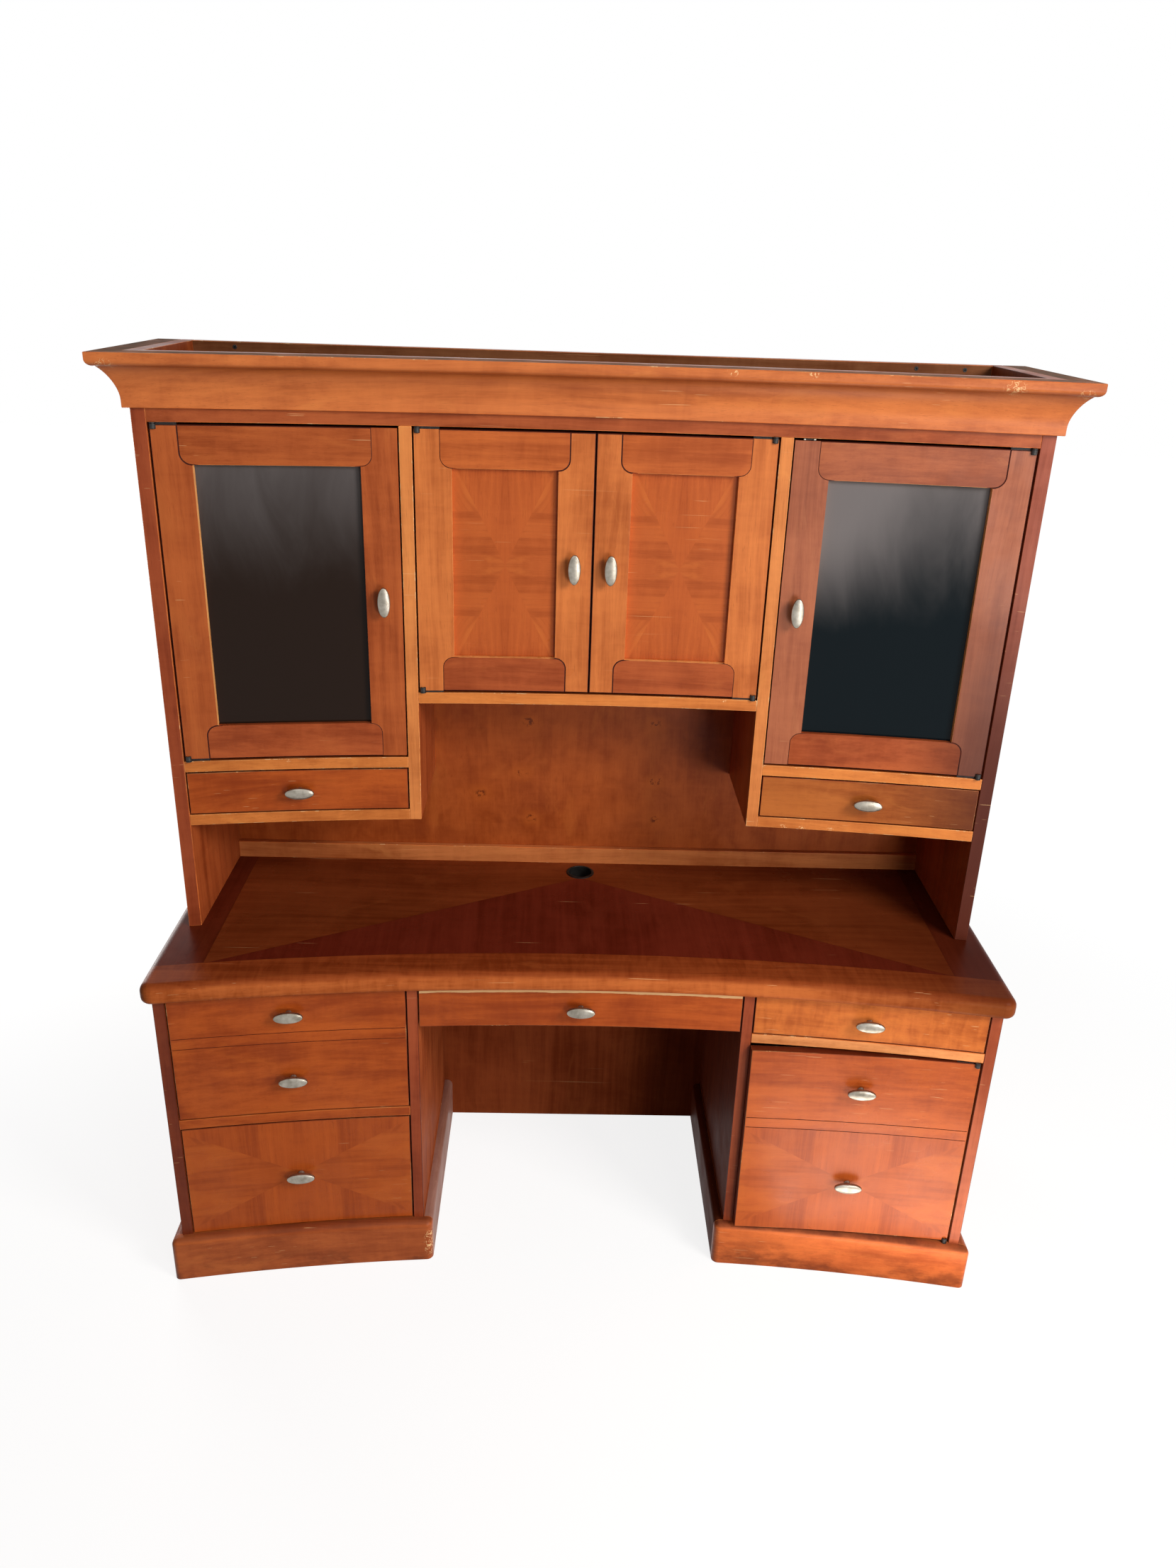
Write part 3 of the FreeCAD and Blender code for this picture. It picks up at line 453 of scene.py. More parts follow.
def paint_inside_shade(finish, body, tint):
    """Painted shade: the back panel darkened behind the doors, outside the open bay."""
    x, y, z = finish.axes(finish.place)
    beside = finish.maths("GREATER_THAN", finish.gap(x), DIVIDER_MIDDLE)
    over = finish.maths("GREATER_THAN", z, BAY_CEILING)
    raised = finish.maths("GREATER_THAN", z, DRAWER_FLOOR)
    hidden = finish.maths("MAXIMUM", over, finish.times(beside, raised))
    hidden = finish.times(hidden, finish.maths("LESS_THAN", y, PANEL_MIDDLE))
    return finish.blend(hidden, body, tint, "MULTIPLY")


def rubbed_top(finish, body, level):
    """Lacquer rubbed away above a level, where a drawer slides under the top."""
    ragged = finish.noise(finish.place, (18, 18, 60), 4, 0.65)
    edge = finish.plus(finish.axes(finish.place)["Z"], ragged, 0.006)
    bare = finish.between(edge, level, level + 0.0012, 0.0, 0.95)
    return finish.blend(bare, body, BARE_WOOD)


def lacquer(finish, colour, streaks, rough, scratched=0.0, sheen=SHEEN):
    """Satin lacquer over a wood colour: uneven gloss, open grain, and scratches that differ by finish."""
    smears = finish.noise(finish.place, 7.0, 4, 0.6)
    uneven = finish.between(smears, 0.3, 0.75, rough - 0.07, rough + 0.1)
    if scratched:
        own = 0.37 * sum(finish.material.name.encode())
        shift = (own, own, own)
        lines = finish.mapped(finish.place, (3.5, 160, 420), (0.3, 0.9, 0.4), shift)
        cuts = finish.between(finish.noise(lines, 1.0, 1, 0.4), 0.735, 0.76)
        patches = finish.noise(finish.mapped(finish.place, shift=shift), 4.3, 2)
        marks = finish.times(cuts, finish.between(patches, 0.52, 0.62))
        colour = finish.blend(finish.times(marks, scratched), colour, BARE_WOOD)
    return finish.coated(colour, uneven, finish.bump(streaks, 0.12, 0.0005), sheen)


def wood(name, colour, along="X", figure=1.0, rough=0.34, scratched=0.35, shift=(0, 0, 0), curl=0.07,
         mottle=0.0, sheen=SHEEN, marks=()):
    """Lacquered wood, its grain along one axis. marks holds functions that mark it, with their details."""
    finish = Finish(name)
    body, streaks = grain(finish, colour, figure, curl, mottle, ALONG[along], shift)
    for mark, detail in marks:
        body = mark(finish, body, detail)
    return lacquer(finish, body, streaks, rough, scratched, sheen)


def matched_leaves(finish, colour, middle, slope, corner):
    """Veneer leaves that meet in a cross: upright grain above and below, level grain at the sides.

    slope is the steepness of the cross's arms. Past the level corner, the side leaves give way to
    small corner leaves with slanted grain.
    """
    x, _, z = finish.axes(finish.mapped(finish.place, shift=(-middle[0], 0, -middle[1])))
    across = finish.gap(x)
    up = finish.gap(z)
    leaf = finish.node("ShaderNodeCombineXYZ", {"X": across, "Z": up}).outputs[0]
    upright, streaks = grain(finish, tinted(colour, 0.95, 0.92, 0.9), 0.85, turn=ALONG["Z"],
                             shift=(0.3, 0.2, 0.1), leaf=leaf)
    level, _ = grain(finish, tinted(colour, 1.03, 1.06, 1.06), 0.85, shift=(0.4, 0.7, 0.2), leaf=leaf)
    slanted, _ = grain(finish, tinted(colour, 1.05, 1.09, 1.08), 0.55, turn=(0, math.radians(55), 0),
                       leaf=leaf)
    body = finish.blend(finish.past(up, corner), level, slanted)
    arm = finish.plus(up, across, -slope)
    return finish.blend(finish.past(arm), body, upright), streaks


def quartered(name, colour, middle, slope, corner, plain_above=None, sheen=SHEEN):
    """Lacquered veneer of matched leaves. Above a level it may go over into plain grain."""
    finish = Finish(name)
    body, streaks = matched_leaves(finish, colour, middle, slope, corner)
    if plain_above:
        plain, _ = grain(finish, colour, shift=(0.3, 0.1, 0.2))
        body = finish.blend(finish.past(finish.axes(finish.place)["Z"], plain_above), body, plain)
    return lacquer(finish, body, streaks, 0.32, 0.4, sheen)


def worn_edge(name, colour, wear, bare):
    """An eased edge: lacquer rubbed thin, with chips to bare wood. A low bare level gives more chips."""
    finish = Finish(name)
    body, streaks = grain(finish, tinted(colour, 1.18, 1.28, 1.3))
    rub = finish.noise(finish.place, 9.0, 4, 0.6)
    chips = finish.noise(finish.place, 60.0, 4, 0.65)
    thin = finish.between(rub, 0.42, 0.75, 0.0, 0.45)
    body = finish.blend(thin, body, tinted(BARE_WOOD, 0.85, 0.75, 0.65))
    chipped = finish.times(finish.between(chips, 0.55, 0.59), finish.between(rub, bare, bare + 0.08))
    body = finish.blend(finish.times(chipped, wear), body, BARE_WOOD)
    return lacquer(finish, body, streaks, 0.38)


def groove_finish(name, colour):
    """Dark glaze that has settled in a joint or a scored line."""
    finish = Finish(name)
    patch = finish.noise(finish.place, 60.0, 3, 0.6)
    body = finish.ramp(patch, [(0.3, tinted(colour, 0.6, 0.6, 0.6)), (0.7, tinted(colour, 1.5, 1.5, 1.5))])
    return finish.coated(body, finish.between(patch, 0.2, 0.8, 0.5, 0.75), sheen=0.2)


def inlaid_top(name):
    """The top's veneers: front band, side borders, a triangle with its point at the cable hole."""
    finish = Finish(name)
    x, y, z = finish.axes(finish.place)
    across = finish.gap(x)
    radius = finish.hypotenuse(finish.minus(y, AXIS_Y), x)
    field = finish.past(radius, FIELD_RADIUS)
    at_side = finish.past(across, FIELD_HALF)
    line = finish.plus(y, across, (TRIANGLE_TIP - TRIANGLE_BASE) / TRIANGLE_HALF)
    folded = finish.node("ShaderNodeCombineXYZ", {"X": across, "Y": y}).outputs[0]
    centre, streaks = grain(finish, TOP_CENTRE, 0.8, turn=ALONG["Y"])
    wing, _ = grain(finish, TOP_WING, 0.8, shift=(0.5, 0.3, 0.1), leaf=folded)
    border, _ = grain(finish, TOP_BORDER, 0.8, turn=ALONG["Y"], shift=(0.2, 0.9, 0))
    band, _ = grain(finish, TOP_BAND, 1.0, 0.2, shift=(0.2, 0.4, 0.3))
    nose, _ = grain(finish, TOP_NOSE_HIGHLIGHT, 1.0, 0.2, shift=(0.6, 0.2, 0.8))
    body = finish.blend(finish.past(line, TRIANGLE_TIP), centre, wing)
    body = finish.blend(at_side, body, border)
    body = finish.blend(field, band, body)
    # The nose takes its lighter colour, a painted highlight
    body = finish.blend(finish.between(z, *NOSE_LEVELS, 1.0, 0.0), body, nose)
    under = finish.between(z, *UNDER_LEVELS, 1.0, 0.0)
    body = finish.blend(under, body, tinted(TOP_BAND, 0.8, 0.75, 0.7))
    inner = finish.times(field, finish.minus(1.0, at_side))
    seams = 0.0
    for away, where, share in ((finish.gap(radius, FIELD_RADIUS), 1.0, 0.5),
                               (finish.gap(across, FIELD_HALF), field, 0.5),
                               (finish.gap(line, TRIANGLE_TIP), inner, 0.4)):
        dark = finish.between(away, *SEAM_LINE, share, 0.0)
        seams = finish.maths("MAXIMUM", seams, finish.times(where, dark))
    body = finish.blend(seams, body, GLAZE_AND_SHADE)
    # Painted shade on the right end of the top
    for limits in SHADED_ENDS:
        body = finish.blend(finish.between(x, *limits, 0.0, 0.45), body, GLAZE_AND_SHADE)
    return lacquer(finish, body, streaks, 0.3, 0.5, 0.025)


def dusty_cherry(name, colour, along, dust, tint, slope, spots=(), sheen=SHEEN, soiled=0.0, glazed=0.0):
    """Cherry tinted on faces that look up: dust on the crown and the case top, grime and painted shade on
    the plinths.
    slope gives the upward share at which the tint starts and is full.

    Below the height soiled, the lacquer has dark kicked and damp patches. glazed is the share of darker
    colour
    in hollows that look down: partly glaze, partly painted shade under the crown's lip.
    """
    finish = Finish(name)
    body, streaks = grain(finish, colour, 0.85, 0.06, turn=ALONG[along])
    if spots:
        body = scuffs(finish, body, spots)
    if soiled:
        patches = finish.between(finish.noise(finish.place, (7, 7, 13), 5, 0.65), 0.44, 0.62)
        low = finish.between(finish.axes(finish.place)["Z"], 0.01, soiled, 0.75, 0.15)
        body = finish.blend(finish.times(patches, low), body, tinted(colour, 0.34, 0.28, 0.26))
    upward = finish.axes(finish.node("ShaderNodeNewGeometry").outputs["Normal"])["Z"]
    # Darker hollows that look down: partly glaze, partly painted shade under the lip
    if glazed:
        hollow = finish.between(upward, -0.9, -0.3, glazed, 0.0)
        body = finish.blend(hollow, body, tinted(colour, 0.42, 0.33, 0.27))
    drift = finish.between(finish.noise(finish.place, 14.0, 5, 0.65), 0.25, 0.7, 0.5, 1.0)
    share = finish.times(finish.times(finish.between(upward, *slope), drift), dust)
    material = lacquer(finish, finish.blend(share, body, tint), streaks, 0.36, 0.5, sheen)
    finish.feed(finish.shader.inputs["Roughness"], finish.between(share, 0.0, 1.0, 0.34, 1.0))
    return material


# Metal, glass and plastic

def brushed_nickel(name, along):
    """Satin nickel, brushed along the knob's long way."""
    finish = Finish(name)
    hairs = finish.noise(finish.mapped(finish.place, (14, 1600, 1600), ALONG[along]), 1.0, 3, 0.6)
    tarnish = finish.noise(finish.place, 60.0, 4, 0.6)
    body = finish.ramp(tarnish, [(0.3, shade(122, 115, 103)), (0.7, shade(166, 160, 149))])
    rough = finish.between(hairs, 0.25, 0.8, 0.28, 0.46)
    return finish.coated(body, rough, finish.bump(hairs, 0.16, 0.0002), metal=1.0)


def painted_glass(name):
    """Cabinet glass whose colour paints the unlit cabinet behind it as shade, warm at the left and bluish at
    the right for a painted reflection.
    A painted reflection, with some dust, lightens it towards the top.
    """
    finish = Finish(name)
    x, _, z = finish.axes(finish.place)
    smears = finish.noise(finish.mapped(finish.place, (3, 3, 1.2)), 3.0, 4, 0.6, 0.8)
    height = finish.between(z, *REFLECTION_LEVELS, 0.0, 0.6)
    more_right = finish.between(x, *REFLECTION_MIDDLE, 0.9, 1.7)
    share = finish.times(more_right, finish.between(x, *REFLECTION_END, 1.0, 0.6))
    reflection_and_dust = finish.plus(finish.times(height, share), smears, 0.3)
    # Painted shade of the cabinet behind the glass, warm at the left and bluish at the right for a painted
    # reflection
    depth = finish.blend(finish.between(x, *REFLECTION_MIDDLE), shade(36, 22, 14), shade(8, 18, 23))
    tint = finish.blend(finish.between(reflection_and_dust, 0.3, 1.0), depth, shade(112, 107, 107))
    finish.shader.inputs["IOR"].default_value = GLASS_IOR
    return finish.coated(tint, finish.between(smears, 0.4, 0.9, 0.02, 0.08))


def moulded_plastic(name, colour):
    """Black plastic with a fine moulded texture and rubbed patches."""
    finish = Finish(name)
    pebble = finish.noise(finish.place, 900.0, 2)
    rubbed = finish.noise(finish.place, 40.0, 3)
    body = finish.ramp(rubbed, [(0.35, colour), (0.7, tinted(colour, 2.0, 2.0, 2.0))])
    rough = finish.between(rubbed, 0.3, 0.7, 0.35, 0.5)
    return finish.coated(body, rough, finish.bump(pebble, 0.2, 0.0001), 0.15)


def blackened_steel(name):
    """Black oxide steel, worn bright in small spots."""
    finish = Finish(name)
    wear = finish.noise(finish.place, 220.0, 3, 0.6)
    body = finish.ramp(wear, [(0.55, shade(24, 22, 21)), (0.8, shade(92, 86, 80))])
    return finish.coated(body, finish.between(wear, 0.3, 0.8, 0.42, 0.6), metal=0.25)


# Finishes of the pieces

def on_front(radius, spots):
    """Spots (x, y, z, reach) on a curved front, from their x, z and reach."""
    return [(x, on_arc(radius)(x), z, reach) for x, z, reach in spots]


CROWN_SCUFFS = on_front(HUTCH_RADIUS - CROWN_OUT, (
    (0.748, 1.926, 0.024), (0.872, 1.914, 0.022), (-0.872, 1.914, 0.024),
    (0.245, 1.943, 0.014), (0.39, 1.943, 0.012)))
EDGING_CHIPS = on_front(HUTCH_RADIUS, (
    (0.43, 1.006, 0.012), (0.47, 1.006, 0.01), (0.53, 1.006, 0.01), (0.44, 1.149, 0.008),
    (-0.62, 1.149, 0.008), (0.28, 1.292, 0.008)))
CORNER_WEAR = on_front(TOP_RADIUS + 0.004, [(-0.324, z, 0.02) for z in (0.03, 0.05, 0.07)])
BAY_KNOTS = ((-0.131, 1.125), (-0.145, 0.997), (-0.122, 0.880), (0.168, 1.125), (0.176, 0.980),
             (0.181, 0.879), (-0.245, 0.939))
INSIDE_SHADE = (0.36, 0.4, 0.5, 1)
LEVEL_ONLY = (0.85, 0.97)
ROUNDED_TOO = (0.35, 0.8)

# The crown's hollows under the lip darken: glaze and painted shade
CROWN = dusty_cherry("cherry_crown_front", shade(197, 108, 54), "X", 0.85, DUST, LEVEL_ONLY, CROWN_SCUFFS,
                     0.26, glazed=0.55)
CROWN_RETURN = dusty_cherry("cherry_crown_return", shade(176, 95, 49), "Y", 0.85, DUST, LEVEL_ONLY,
                            glazed=0.55)
CASE_TOP = dusty_cherry("cherry_case_dusty", shade(110, 66, 42), "X", 0.8, DUST, LEVEL_ONLY)
# The frieze is darker than the crown, partly its wood and partly painted shade under the crown
FRIEZE = wood("cherry_frieze", shade(162, 80, 42))
CLEAT = wood("cherry_cleat", shade(184, 106, 58))
TOP_RAIL = wood("cherry_top_rail", shade(124, 76, 48), sheen=0.05)
SHELF = wood("cherry_shelf", shade(170, 84, 38))
# The back panel carries painted shade behind the doors
BAY_BACK = wood("cherry_bay_back", BAY_CHERRY, "Z", 0.8, 0.4, 0.0, curl=0.1, mottle=0.3,
                marks=[(knots, BAY_KNOTS), (paint_inside_shade, INSIDE_SHADE)])
SIDE_BOARD = wood("cherry_side_board", shade(154, 72, 34), "Z", rough=0.42)
SIDE_EDGE = wood("cherry_side_edge", shade(146, 66, 36), "Z", rough=0.38)
# Front edge of the right hutch side: pinker than the left for a painted reflection, with painted shade
# towards its foot
SHADED_EDGE = wood("cherry_aged_edge", shade(148, 76, 56), "Z", rough=0.38, marks=[(painted_corner_shade, 0.9)])
EDGING_LEVEL = wood("honey_edging_level", shade(206, 120, 57), "X", 0.8, 0.36, 0.6,
                    marks=[(scuffs, EDGING_CHIPS)])
EDGING_UPRIGHT = wood("honey_edging_upright", HONEY, "Z", 0.8, 0.36, 0.6)

# The right glazed door's stiles and rails are pinker than the left's, a painted reflection; its stiles also
# take painted shade towards the desk top
STILES = {
    "left": wood("cherry_left_stile", shade(170, 84, 40), "Z"),
    "right": wood("cherry_right_stile", shade(156, 85, 53), "Z", sheen=0.28, marks=[(painted_corner_shade, 0.85)]),
}
RAILS = {
    "left": wood("cherry_left_rail", shade(168, 83, 39), shift=(0.7, 0.2, 0.4)),
    "right": wood("cherry_right_rail", shade(158, 82, 45), shift=(0.1, 0.5, 0.8), sheen=0.28),
}
STILE_HONEY = wood("honey_stile", shade(198, 110, 55), "Z", 0.9)
RAIL_HONEY = wood("honey_rail", shade(184, 93, 43), "X", 0.9, shift=(0.2, 0.6, 0.1))
# Lower rails take painted shade at the right end of the hutch
LOW_RAIL = wood("cherry_low_rail", shade(164, 78, 39), shift=(0.5, 0.9, 0.3), marks=[(painted_corner_shade, 0.75)])
# Pale reveals of the door openings: bare wood and a painted highlight
REVEAL_AND_HIGHLIGHT = wood("honey_reveal", shade(228, 158, 92), "Z", 0.7, 0.3, 0.3)
DRAWER_FACE = wood("cherry_drawer_face", RED_CHERRY, shift=(0.4, 0.1, 0.9))
RUBBED_FACE = wood("cherry_rubbed_face", RED_CHERRY, scratched=0.5, shift=(0.4, 0.1, 0.9),
                   marks=[(rubbed_top, RUBBED_LEVEL)])
CURLY_FACE = wood("cherry_curly_face", shade(186, 98, 42), "X", 1.0, 0.32, 0.6, (0.1, 0.5, 0.7),
                  curl=0.2, mottle=0.16)
# The right hutch drawer's face takes painted shade at its right end
HUTCH_FACES = {
    "left": DRAWER_FACE,
    "right": wood("cherry_right_hutch_drawer", shade(164, 88, 37), shift=(0.8, 0.3, 0.6),
                  marks=[(painted_corner_shade, 0.75)]),
}

# The right kneehole side is far darker than the left: painted shade on the side that faces away from the
# light
KNEEHOLE_SIDES = {
    "left": wood("cherry_left_kneehole", shade(150, 72, 37), "Z", 1.0, 0.6, 0.4, sheen=DULL_SHEEN),
    "right": wood("cherry_right_kneehole", shade(96, 42, 23), "Z", 1.0, 0.6, 0.4, sheen=DULL_SHEEN),
}
# Outer front edges of the pedestals: the left darker for painted shade, the right lighter for painted light
# from the right
OUTER_EDGES = {
    "left": wood("cherry_left_outer_edge", shade(112, 47, 25), "Z", rough=0.38),
    "right": wood("cherry_right_outer_edge", shade(168, 84, 52), "Z", rough=0.38),
}
PEDESTAL_RAIL = wood("cherry_pedestal_rail", shade(206, 130, 76), shift=(0.9, 0.4, 0.2))
# The right plinth is lighter than the left for painted light, and both darken on faces that look up for
# grime and painted shade
PLINTHS = {
    "left": dusty_cherry("cherry_left_plinth", shade(172, 86, 41), "X", 0.5, GRIME_AND_SHADE, ROUNDED_TOO, CORNER_WEAR,
                         soiled=0.06),
    "right": dusty_cherry("cherry_right_plinth", shade(196, 97, 46), "X", 0.9, GRIME_AND_SHADE, ROUNDED_TOO,
                          soiled=0.09),
}
PLINTH_RETURN = wood("cherry_plinth_return", shade(168, 84, 44), "Y")
# Kneehole plinth returns: the left pale grey for dust and a painted reflection, the right dark for painted
# shade
KNEEHOLE_RETURNS = {
    "left": wood("cherry_left_return_dusty", shade(158, 112, 98), "Y", 0.8, 0.5),
    "right": wood("cherry_right_return_dark", shade(92, 42, 25), "Y", 0.8, 0.5, sheen=DULL_SHEEN),
}
DESK_BACK = wood("cherry_desk_back", shade(128, 58, 28), "Z", 0.9, 0.6, 0.3, sheen=DULL_SHEEN)
DESK_TOP = inlaid_top("cherry_desk_top")

WORN = worn_edge("cherry_worn_edge", WARM_CHERRY, 0.9, 0.53)
# Eased edges of the fronts: dark for painted gap shade, with chips of real wear
WORN_AND_SHADED_FRONT = worn_edge("cherry_front_edge", shade(112, 46, 20), 0.9, 0.56)
WORN_HONEY = worn_edge("honey_worn_edge", HONEY, 0.95, 0.46)
GROOVE = groove_finish("cherry_groove", GLAZE_AND_SHADE)
SCORE = groove_finish("cherry_scored_line", shade(98, 38, 17))
# Dark rims: painted shade on faces that look into the gaps round the fronts, and on the pedestal sides'
# eased edges
RIM_SHADE = wood("cherry_dark_rim", shade(92, 34, 14), "Z", 0.8, 0.45, 0.0)
DRAWER_WOOD = wood("drawer_box_wood", shade(196, 160, 116), "Y", 0.8, 0.5, 0.0)
NICKEL_LEVEL = brushed_nickel("nickel_brushed_level", "X")
NICKEL_UPRIGHT = brushed_nickel("nickel_brushed_upright", "Z")
GLASS = painted_glass("cabinet_glass")
STEEL = blackened_steel("pivot_steel")
PLASTIC = moulded_plastic("grommet_plastic", shade(22, 21, 20))


# Mesh building blocks. A board's first three finishes are its faces, its eased edges and its front.

FACE, ARRIS, FRONT = range(3)


def all_of(bm):
    """Everything in a mesh, as the cutting operators want it."""
    return bm.verts[:] + bm.edges[:] + bm.faces[:]


def moved(bm, way):
    """Shift a whole mesh."""
    bmesh.ops.translate(bm, vec=way, verts=bm.verts)
    return bm


def turned(bm, axis, angle, centre=(0, 0, 0)):
    """Turn a whole mesh about an axis through a point."""
    bmesh.ops.rotate(bm, verts=bm.verts, cent=centre, matrix=Matrix.Rotation(angle, 3, axis))
    return bm


def closed(bm):
    """Merge doubles and turn all faces outwards."""
    bmesh.ops.remove_doubles(bm, verts=bm.verts, dist=FLUSH)
    bmesh.ops.recalc_face_normals(bm, faces=bm.faces)
    return bm


def cut(bm, point, normal, clear_outer=False):
    """Cut a mesh along a plane."""
    return bmesh.ops.bisect_plane(bm, geom=all_of(bm), dist=CUT_GAP, plane_co=point, plane_no=normal,
                                  clear_outer=clear_outer)


def outline(corners):
    """A flat face through corners in X and Z, and its points."""
    bm = bmesh.new()
    verts = [bm.verts.new((x, 0, z)) for x, z in corners]
    bm.faces.new(verts)
    return bm, verts


def round_corners(bm, verts, radius, segments):
    """Round some corners of a flat face."""
    bmesh.ops.bevel(bm, geom=verts, offset=radius, offset_type="OFFSET", affect="VERTICES",
                    segments=segments, profile=0.5, material=-1)


def pulled(bm, way):
    """Pull a flat face out into a solid."""
    made = bmesh.ops.extrude_face_region(bm, geom=bm.faces[:])
    far = [item for item in made["geom"] if isinstance(item, bmesh.types.BMVert)]
    bmesh.ops.translate(bm, verts=far, vec=way)
    return closed(bm)


def lathe(profile, steps):
    """Turn a profile of radius and height about Z into a closed form."""
    bm = bmesh.new()
    verts = [bm.verts.new((radius, 0, height)) for radius, height in profile]
    for first, second in zip(verts, verts[1:]):
        bm.edges.new((first, second))
    bmesh.ops.spin(bm, geom=bm.verts[:] + bm.edges[:], cent=(0, 0, 0), axis=(0, 0, 1),
                   angle=math.tau, steps=steps, use_merge=True)
    return closed(bm)


def ease_edges(bm, edges, offset, index, segments=2):
    """Round some edges over and give the rounded faces a finish of their own."""
    made = bmesh.ops.bevel(bm, geom=edges, offset=offset, offset_type="OFFSET", affect="EDGES",
                           segments=segments, profile=0.5, material=-1, clamp_overlap=True)
    for face in made["faces"]:
        face.material_index = index


def restain(bm, old, new):
    """Give all faces of one finish another."""
    for face in bm.faces:
        if face.material_index == old:
            face.material_index = new


def paint_rim_shade(bm, index, shown=None):
    """Give the thin faces round a front the dark colour of painted shade in the gaps, apart from those that
    are shown.
    """
    for face in bm.faces:
        if face.material_index == FACE and abs(face.normal.y) < RIM_FACING:
            if not (shown and shown(face.calc_center_median())):
                face.material_index = index


def block(left, right, low, high, depth):
    """A straight block whose front lies on Y = 0."""
    bm = bmesh.new()
    bmesh.ops.create_cube(bm, size=1)
    bmesh.ops.scale(bm, vec=(right - left, depth, high - low), verts=bm.verts)
    return moved(bm, ((left + right) / 2, depth / 2, (low + high) / 2))


def bend(bm, left, right, front, back, depth):
    """Cut a straight block across X, then lay its front and back on their curves."""
    cuts = int((right - left) / CURVE_STEP)
    for step in range(1, cuts + 1):
        cut(bm, (left + (right - left) * step / (cuts + 1), 0, 0), (1, 0, 0))
    for vert in bm.verts:
        deep = vert.co.y
        if deep < depth / 2:
            vert.co.y = front(vert.co.x) + deep
        else:
            vert.co.y = back(vert.co.x) + deep - depth


def board(left, right, low, high, front, back, edging=FACE, rounds=()):
    """A board with eased, worn edges, whose front face has the finish edging.

    rounds holds larger roundings, tests for their edges and finishes.
    """
    middle = (left + right) / 2
    depth = back(middle) - front(middle)
    bm = block(left, right, low, high, depth)
    for radius, test, index in rounds:
        picked = [edge for edge in bm.edges if test((edge.verts[0].co + edge.verts[1].co) / 2)]
        ease_edges(bm, picked, radius, index, 6)
    sharp = [edge for edge in bm.edges if edge.calc_face_angle(0) > SHARP_ANGLE]
    ease_edges(bm, sharp, EASE, ARRIS)
    for face in bm.faces:
        if face.normal.y < -FRONT_FACING and face.material_index == FACE:
            face.material_index = edging
    bend(bm, left, right, front, back, depth)
    return bm


def sides_of(inner, outer):
    """Left and right limits of a pair of boards that mirror each other."""
    return ((-outer, -inner), (inner, outer))


def middle_of(node):
    """X and Z of the middle of a node."""
    low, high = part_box(node)
    return ((low.x + high.x) / 2, (low.z + high.z) / 2)


def add_piece(name, parts, body, slot, finishes, *nodes):
    """Join meshes into one piece that rides on a body and stands for CAD nodes."""
    whole = bmesh.new()
    for part in parts:
        spare = bpy.data.meshes.new("spare")
        part.to_mesh(spare)
        part.free()
        whole.from_mesh(spare)
        bpy.data.meshes.remove(spare)
    for face in whole.faces:
        face.smooth = True
    for edge in whole.edges:
        edge.smooth = edge.calc_face_angle(0) < SMOOTH_ANGLE
    mesh = bpy.data.meshes.new(name)
    whole.to_mesh(mesh)
    whole.free()
    for material in finishes:
        mesh.materials.append(material)
    piece = bpy.data.objects.new(name, mesh)
    bpy.context.scene.collection.objects.link(piece)
    shading = piece.modifiers.new("even_shading", "WEIGHTED_NORMAL")
    shading.keep_sharp = True
    shading.weight = NORMAL_WEIGHT
    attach(piece, body)
    if nodes:
        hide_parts(*nodes)


def dress(node, material):
    """Give a CAD node its finish."""
    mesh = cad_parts[node].data
    mesh.materials.clear()
    mesh.materials.append(material)


# Hutch case

def hutch_boards(name, node, limits, finishes):
    """Boards at the height of a node, from the curved front to the back panel."""
    low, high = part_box(node)
    parts = [board(*sides, low.z, high.z, hutch_front, straight(PANEL_FACE), FRONT) for sides in limits]
    add_piece(name, parts, "case", "cherry_case", finishes, node)


def hutch_case():
    """Sides, dividers, floors, frieze and back rails."""
    # The right side's front edge and eased edges take painted shade
    shaded = 3
    parts = [board(*limits, DESK_HEIGHT, CROWN_HIGH, hutch_front, straight(BACK), edging)
             for limits, edging in zip(sides_of(HUTCH_IN, HUTCH_OUT), (FRONT, shaded))]
    restain(parts[1], ARRIS, shaded)
    add_piece("hutch_side_boards", parts, "case", "cherry_case", [SIDE_BOARD, WORN, SIDE_EDGE, SHADED_EDGE],
              "hutch_sides")
    hutch_boards("hutch_divider_boards", "hutch_dividers", sides_of(BAY_HALF, DIVIDER_OUT),
                 [SIDE_BOARD, WORN_HONEY, EDGING_UPRIGHT])
    shelf_finishes = [SHELF, WORN_HONEY, EDGING_LEVEL]
    for node in ("hutch_drawer_floors", "glass_cabinet_floors"):
        hutch_boards(f"{node}_boards", node, sides_of(DIVIDER_OUT, HUTCH_IN), shelf_finishes)
    hutch_boards("centre_floor_board", "centre_cabinet_floor", [(-BAY_HALF, BAY_HALF)], shelf_finishes)
    low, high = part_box("frieze_rail")
    frieze = board(-HUTCH_IN, HUTCH_IN, low.z, high.z, hutch_front, on_arc(HUTCH_RADIUS + FRIEZE_THICKNESS))
    add_piece("frieze_board", [frieze], "case", "cherry_trim", [FRIEZE, WORN], "frieze_rail")
    cleat = board(-HUTCH_IN, HUTCH_IN, DESK_HEIGHT, DESK_HEIGHT + CLEAT_HEIGHT, straight(RAIL_FACE),
                  straight(PANEL_FACE))
    top_rail = board(-HUTCH_IN, HUTCH_IN, TOP_RAIL_LOW, CROWN_HIGH, straight(RAIL_FACE), straight(BACK),
                     FRONT)
    add_piece("hutch_back_rail_boards", [cleat, top_rail], "case", "cherry_case", [CLEAT, WORN, TOP_RAIL],
              "hutch_back_rails")
    dress("hutch_top_panel", CASE_TOP)
    dress("hutch_back_panel", BAY_BACK)


